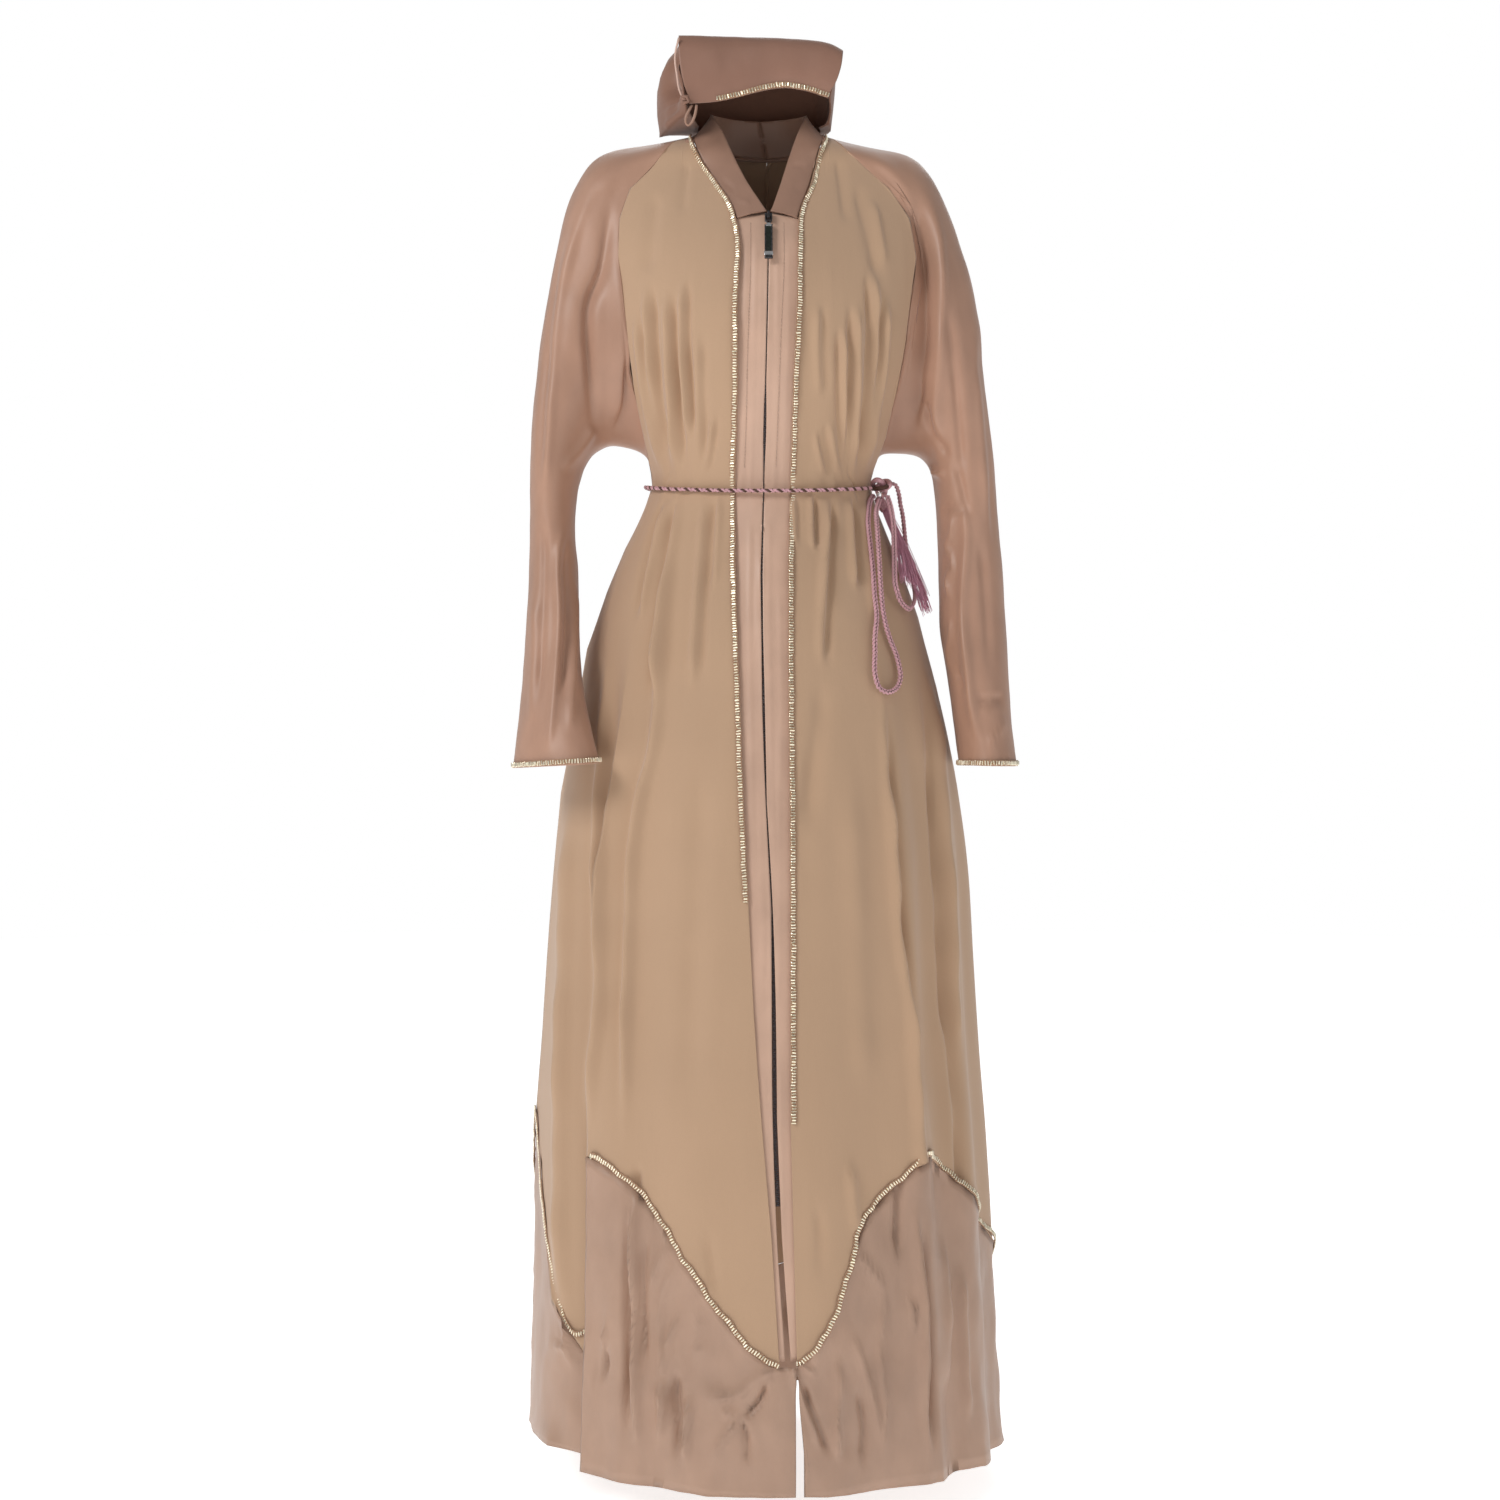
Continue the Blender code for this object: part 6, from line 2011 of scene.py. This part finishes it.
            made.append(BeadedTrim(node, True, outward).build())
        for piece in made:
            LOG.info("%s has %d corners", piece.name, len(piece.data.vertices))
        return made


@dataclass
class Studio:
    """The camera, the lights and the plain floor.

    Attributes:
        room_light: How strongly the pale surroundings light the garment.
    """

    room_light: float = 0.29

    def build(self) -> None:
        """Builds the studio round the garment."""
        self.build_camera()
        self.build_lights()
        self.build_floor()

    def build_camera(self) -> None:
        """Sets the camera at the photograph's angle."""
        lens = bpy.data.cameras.new("camera")
        lens.lens = CAMERA_LENS
        lens.sensor_width = 36
        camera = bpy.data.objects.new("camera", lens)
        camera.location = CAMERA_PLACE
        camera.rotation_euler = (math.radians(90), 0, 0)
        bpy.context.scene.collection.objects.link(camera)
        bpy.context.scene.camera = camera

    @staticmethod
    def add_panel(name: str, place: Vector, size: float, power: float) -> None:
        """Adds one large soft light that looks at the garment's middle.

        Args:
            name: The light's name.
            place: Where it stands.
            size: Its width in metres.
            power: Its power in watts.
        """
        light = bpy.data.lights.new(name, "AREA")
        light.shape = "SQUARE"
        light.size = size
        light.energy = power
        thing = bpy.data.objects.new(name, light)
        thing.location = place
        aim = Vector((0, 0, -0.7)) - place
        thing.rotation_euler = aim.to_track_quat("-Z", "Y").to_euler()
        bpy.context.scene.collection.objects.link(thing)

    def build_lights(self) -> None:
        """Adds the key, fill and back lights and the pale surroundings."""
        self.add_panel("key_light", Vector((-2.5, -2.3, 1.5)), 1.3, 68)
        self.add_panel("fill_light", Vector((2.8, -2.4, 0.4)), 2.0, 10)
        self.add_panel("back_light", Vector((0.4, 2.8, 1.6)), 2.4, 34)
        world = bpy.data.worlds.new("pale_room")
        world.use_nodes = True
        room = world.node_tree.nodes["Background"]
        room.inputs["Color"].default_value = (1, 1, 1, 1)
        ray = world.node_tree.nodes.new("ShaderNodeLightPath")
        level = world.node_tree.nodes.new("ShaderNodeMapRange")
        level.inputs["To Min"].default_value = self.room_light
        level.inputs["To Max"].default_value = 1.0
        world.node_tree.links.new(ray.outputs["Is Camera Ray"], level.inputs["Value"])
        world.node_tree.links.new(level.outputs["Result"], room.inputs["Strength"])
        bpy.context.scene.world = world
        bpy.context.scene.view_settings.view_transform = "Standard"

    def build_floor(self) -> None:
        """Adds the plain pale floor."""
        bpy.ops.object.select_all(action="DESELECT")
        bpy.ops.mesh.primitive_circle_add(vertices=96, radius=FLOOR_RADIUS, fill_type="NGON",
                                          location=(0, 0, FLOOR_LEVEL))
        floor = bpy.context.active_object
        floor.name = "floor"
        Bench.settle(floor)
        Bench.paint(floor, PALE_FLOOR.made())


def build_rolls() -> None:
    """Builds the rolls along the seams and the piping with its knot."""
    neck = SeamRoll(NECK_ROLL_RADIUS, SATIN_COLLAR)
    neck.build("neck_seam_roll", neck.neck_route())
    collar = SeamRoll(COLLAR_ROLL_RADIUS, SATIN_COLLAR)
    collar.build("collar_seam_roll", [Vector(place) * MM for place in COLLAR_SEAM])
    back = SeamRoll(BACK_ROLL_RADIUS, CHIFFON_TOP)
    back.build("back_seam_roll", back.back_route())
    piping = SeamRoll(PIPING_RADIUS, PIPING_SATIN)
    piping.build("brim_piping", [Vector(place) * MM for place in BRIM_PIPING])
    knot = SeamRoll(PIPING_KNOT_RADIUS, SATIN_BRIM)
    knot.build("piping_knot", [Vector(place) * MM for place in PIPING_KNOT])


# The two rows of stitches beside the zip, as places (across, drop)
RIGHT_STITCHES: Line = ((-19, 118), (-19, 170), (-22, 260), (-24, 345), (-26, 392))
LEFT_STITCHES: Line = ((18, 118), (18, 170), (14, 260), (11, 345), (9, 392))


def main() -> None:
    """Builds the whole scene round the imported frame."""
    logging.basicConfig(level=logging.INFO, format="%(message)s")
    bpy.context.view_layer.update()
    Studio().build()
    belt = TasselBelt()
    belt.build_loop("long", LONG_LOOP)
    belt.build_loop("short", SHORT_LOOP)
    cloak = Cloak()
    cloak.build()
    cloak.build_tie()
    cloak.build_trims()
    for piece in belt.build() + FrontZip().build():
        LOG.info("%s has %d corners", piece.name, len(piece.data.vertices))
    build_rolls()
    Stitching("stitches_right", cloak.panels["band_right"], RIGHT_STITCHES).build()
    Stitching("stitches_left", cloak.panels["band_left"], LEFT_STITCHES).build()


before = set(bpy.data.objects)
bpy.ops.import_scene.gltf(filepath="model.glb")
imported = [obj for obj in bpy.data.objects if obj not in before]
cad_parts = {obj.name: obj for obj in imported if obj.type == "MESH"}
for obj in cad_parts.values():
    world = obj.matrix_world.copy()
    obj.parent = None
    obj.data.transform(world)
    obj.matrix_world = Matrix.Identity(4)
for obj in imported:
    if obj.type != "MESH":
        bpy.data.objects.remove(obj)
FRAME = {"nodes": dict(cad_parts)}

if __name__ == "__main__":
    main()
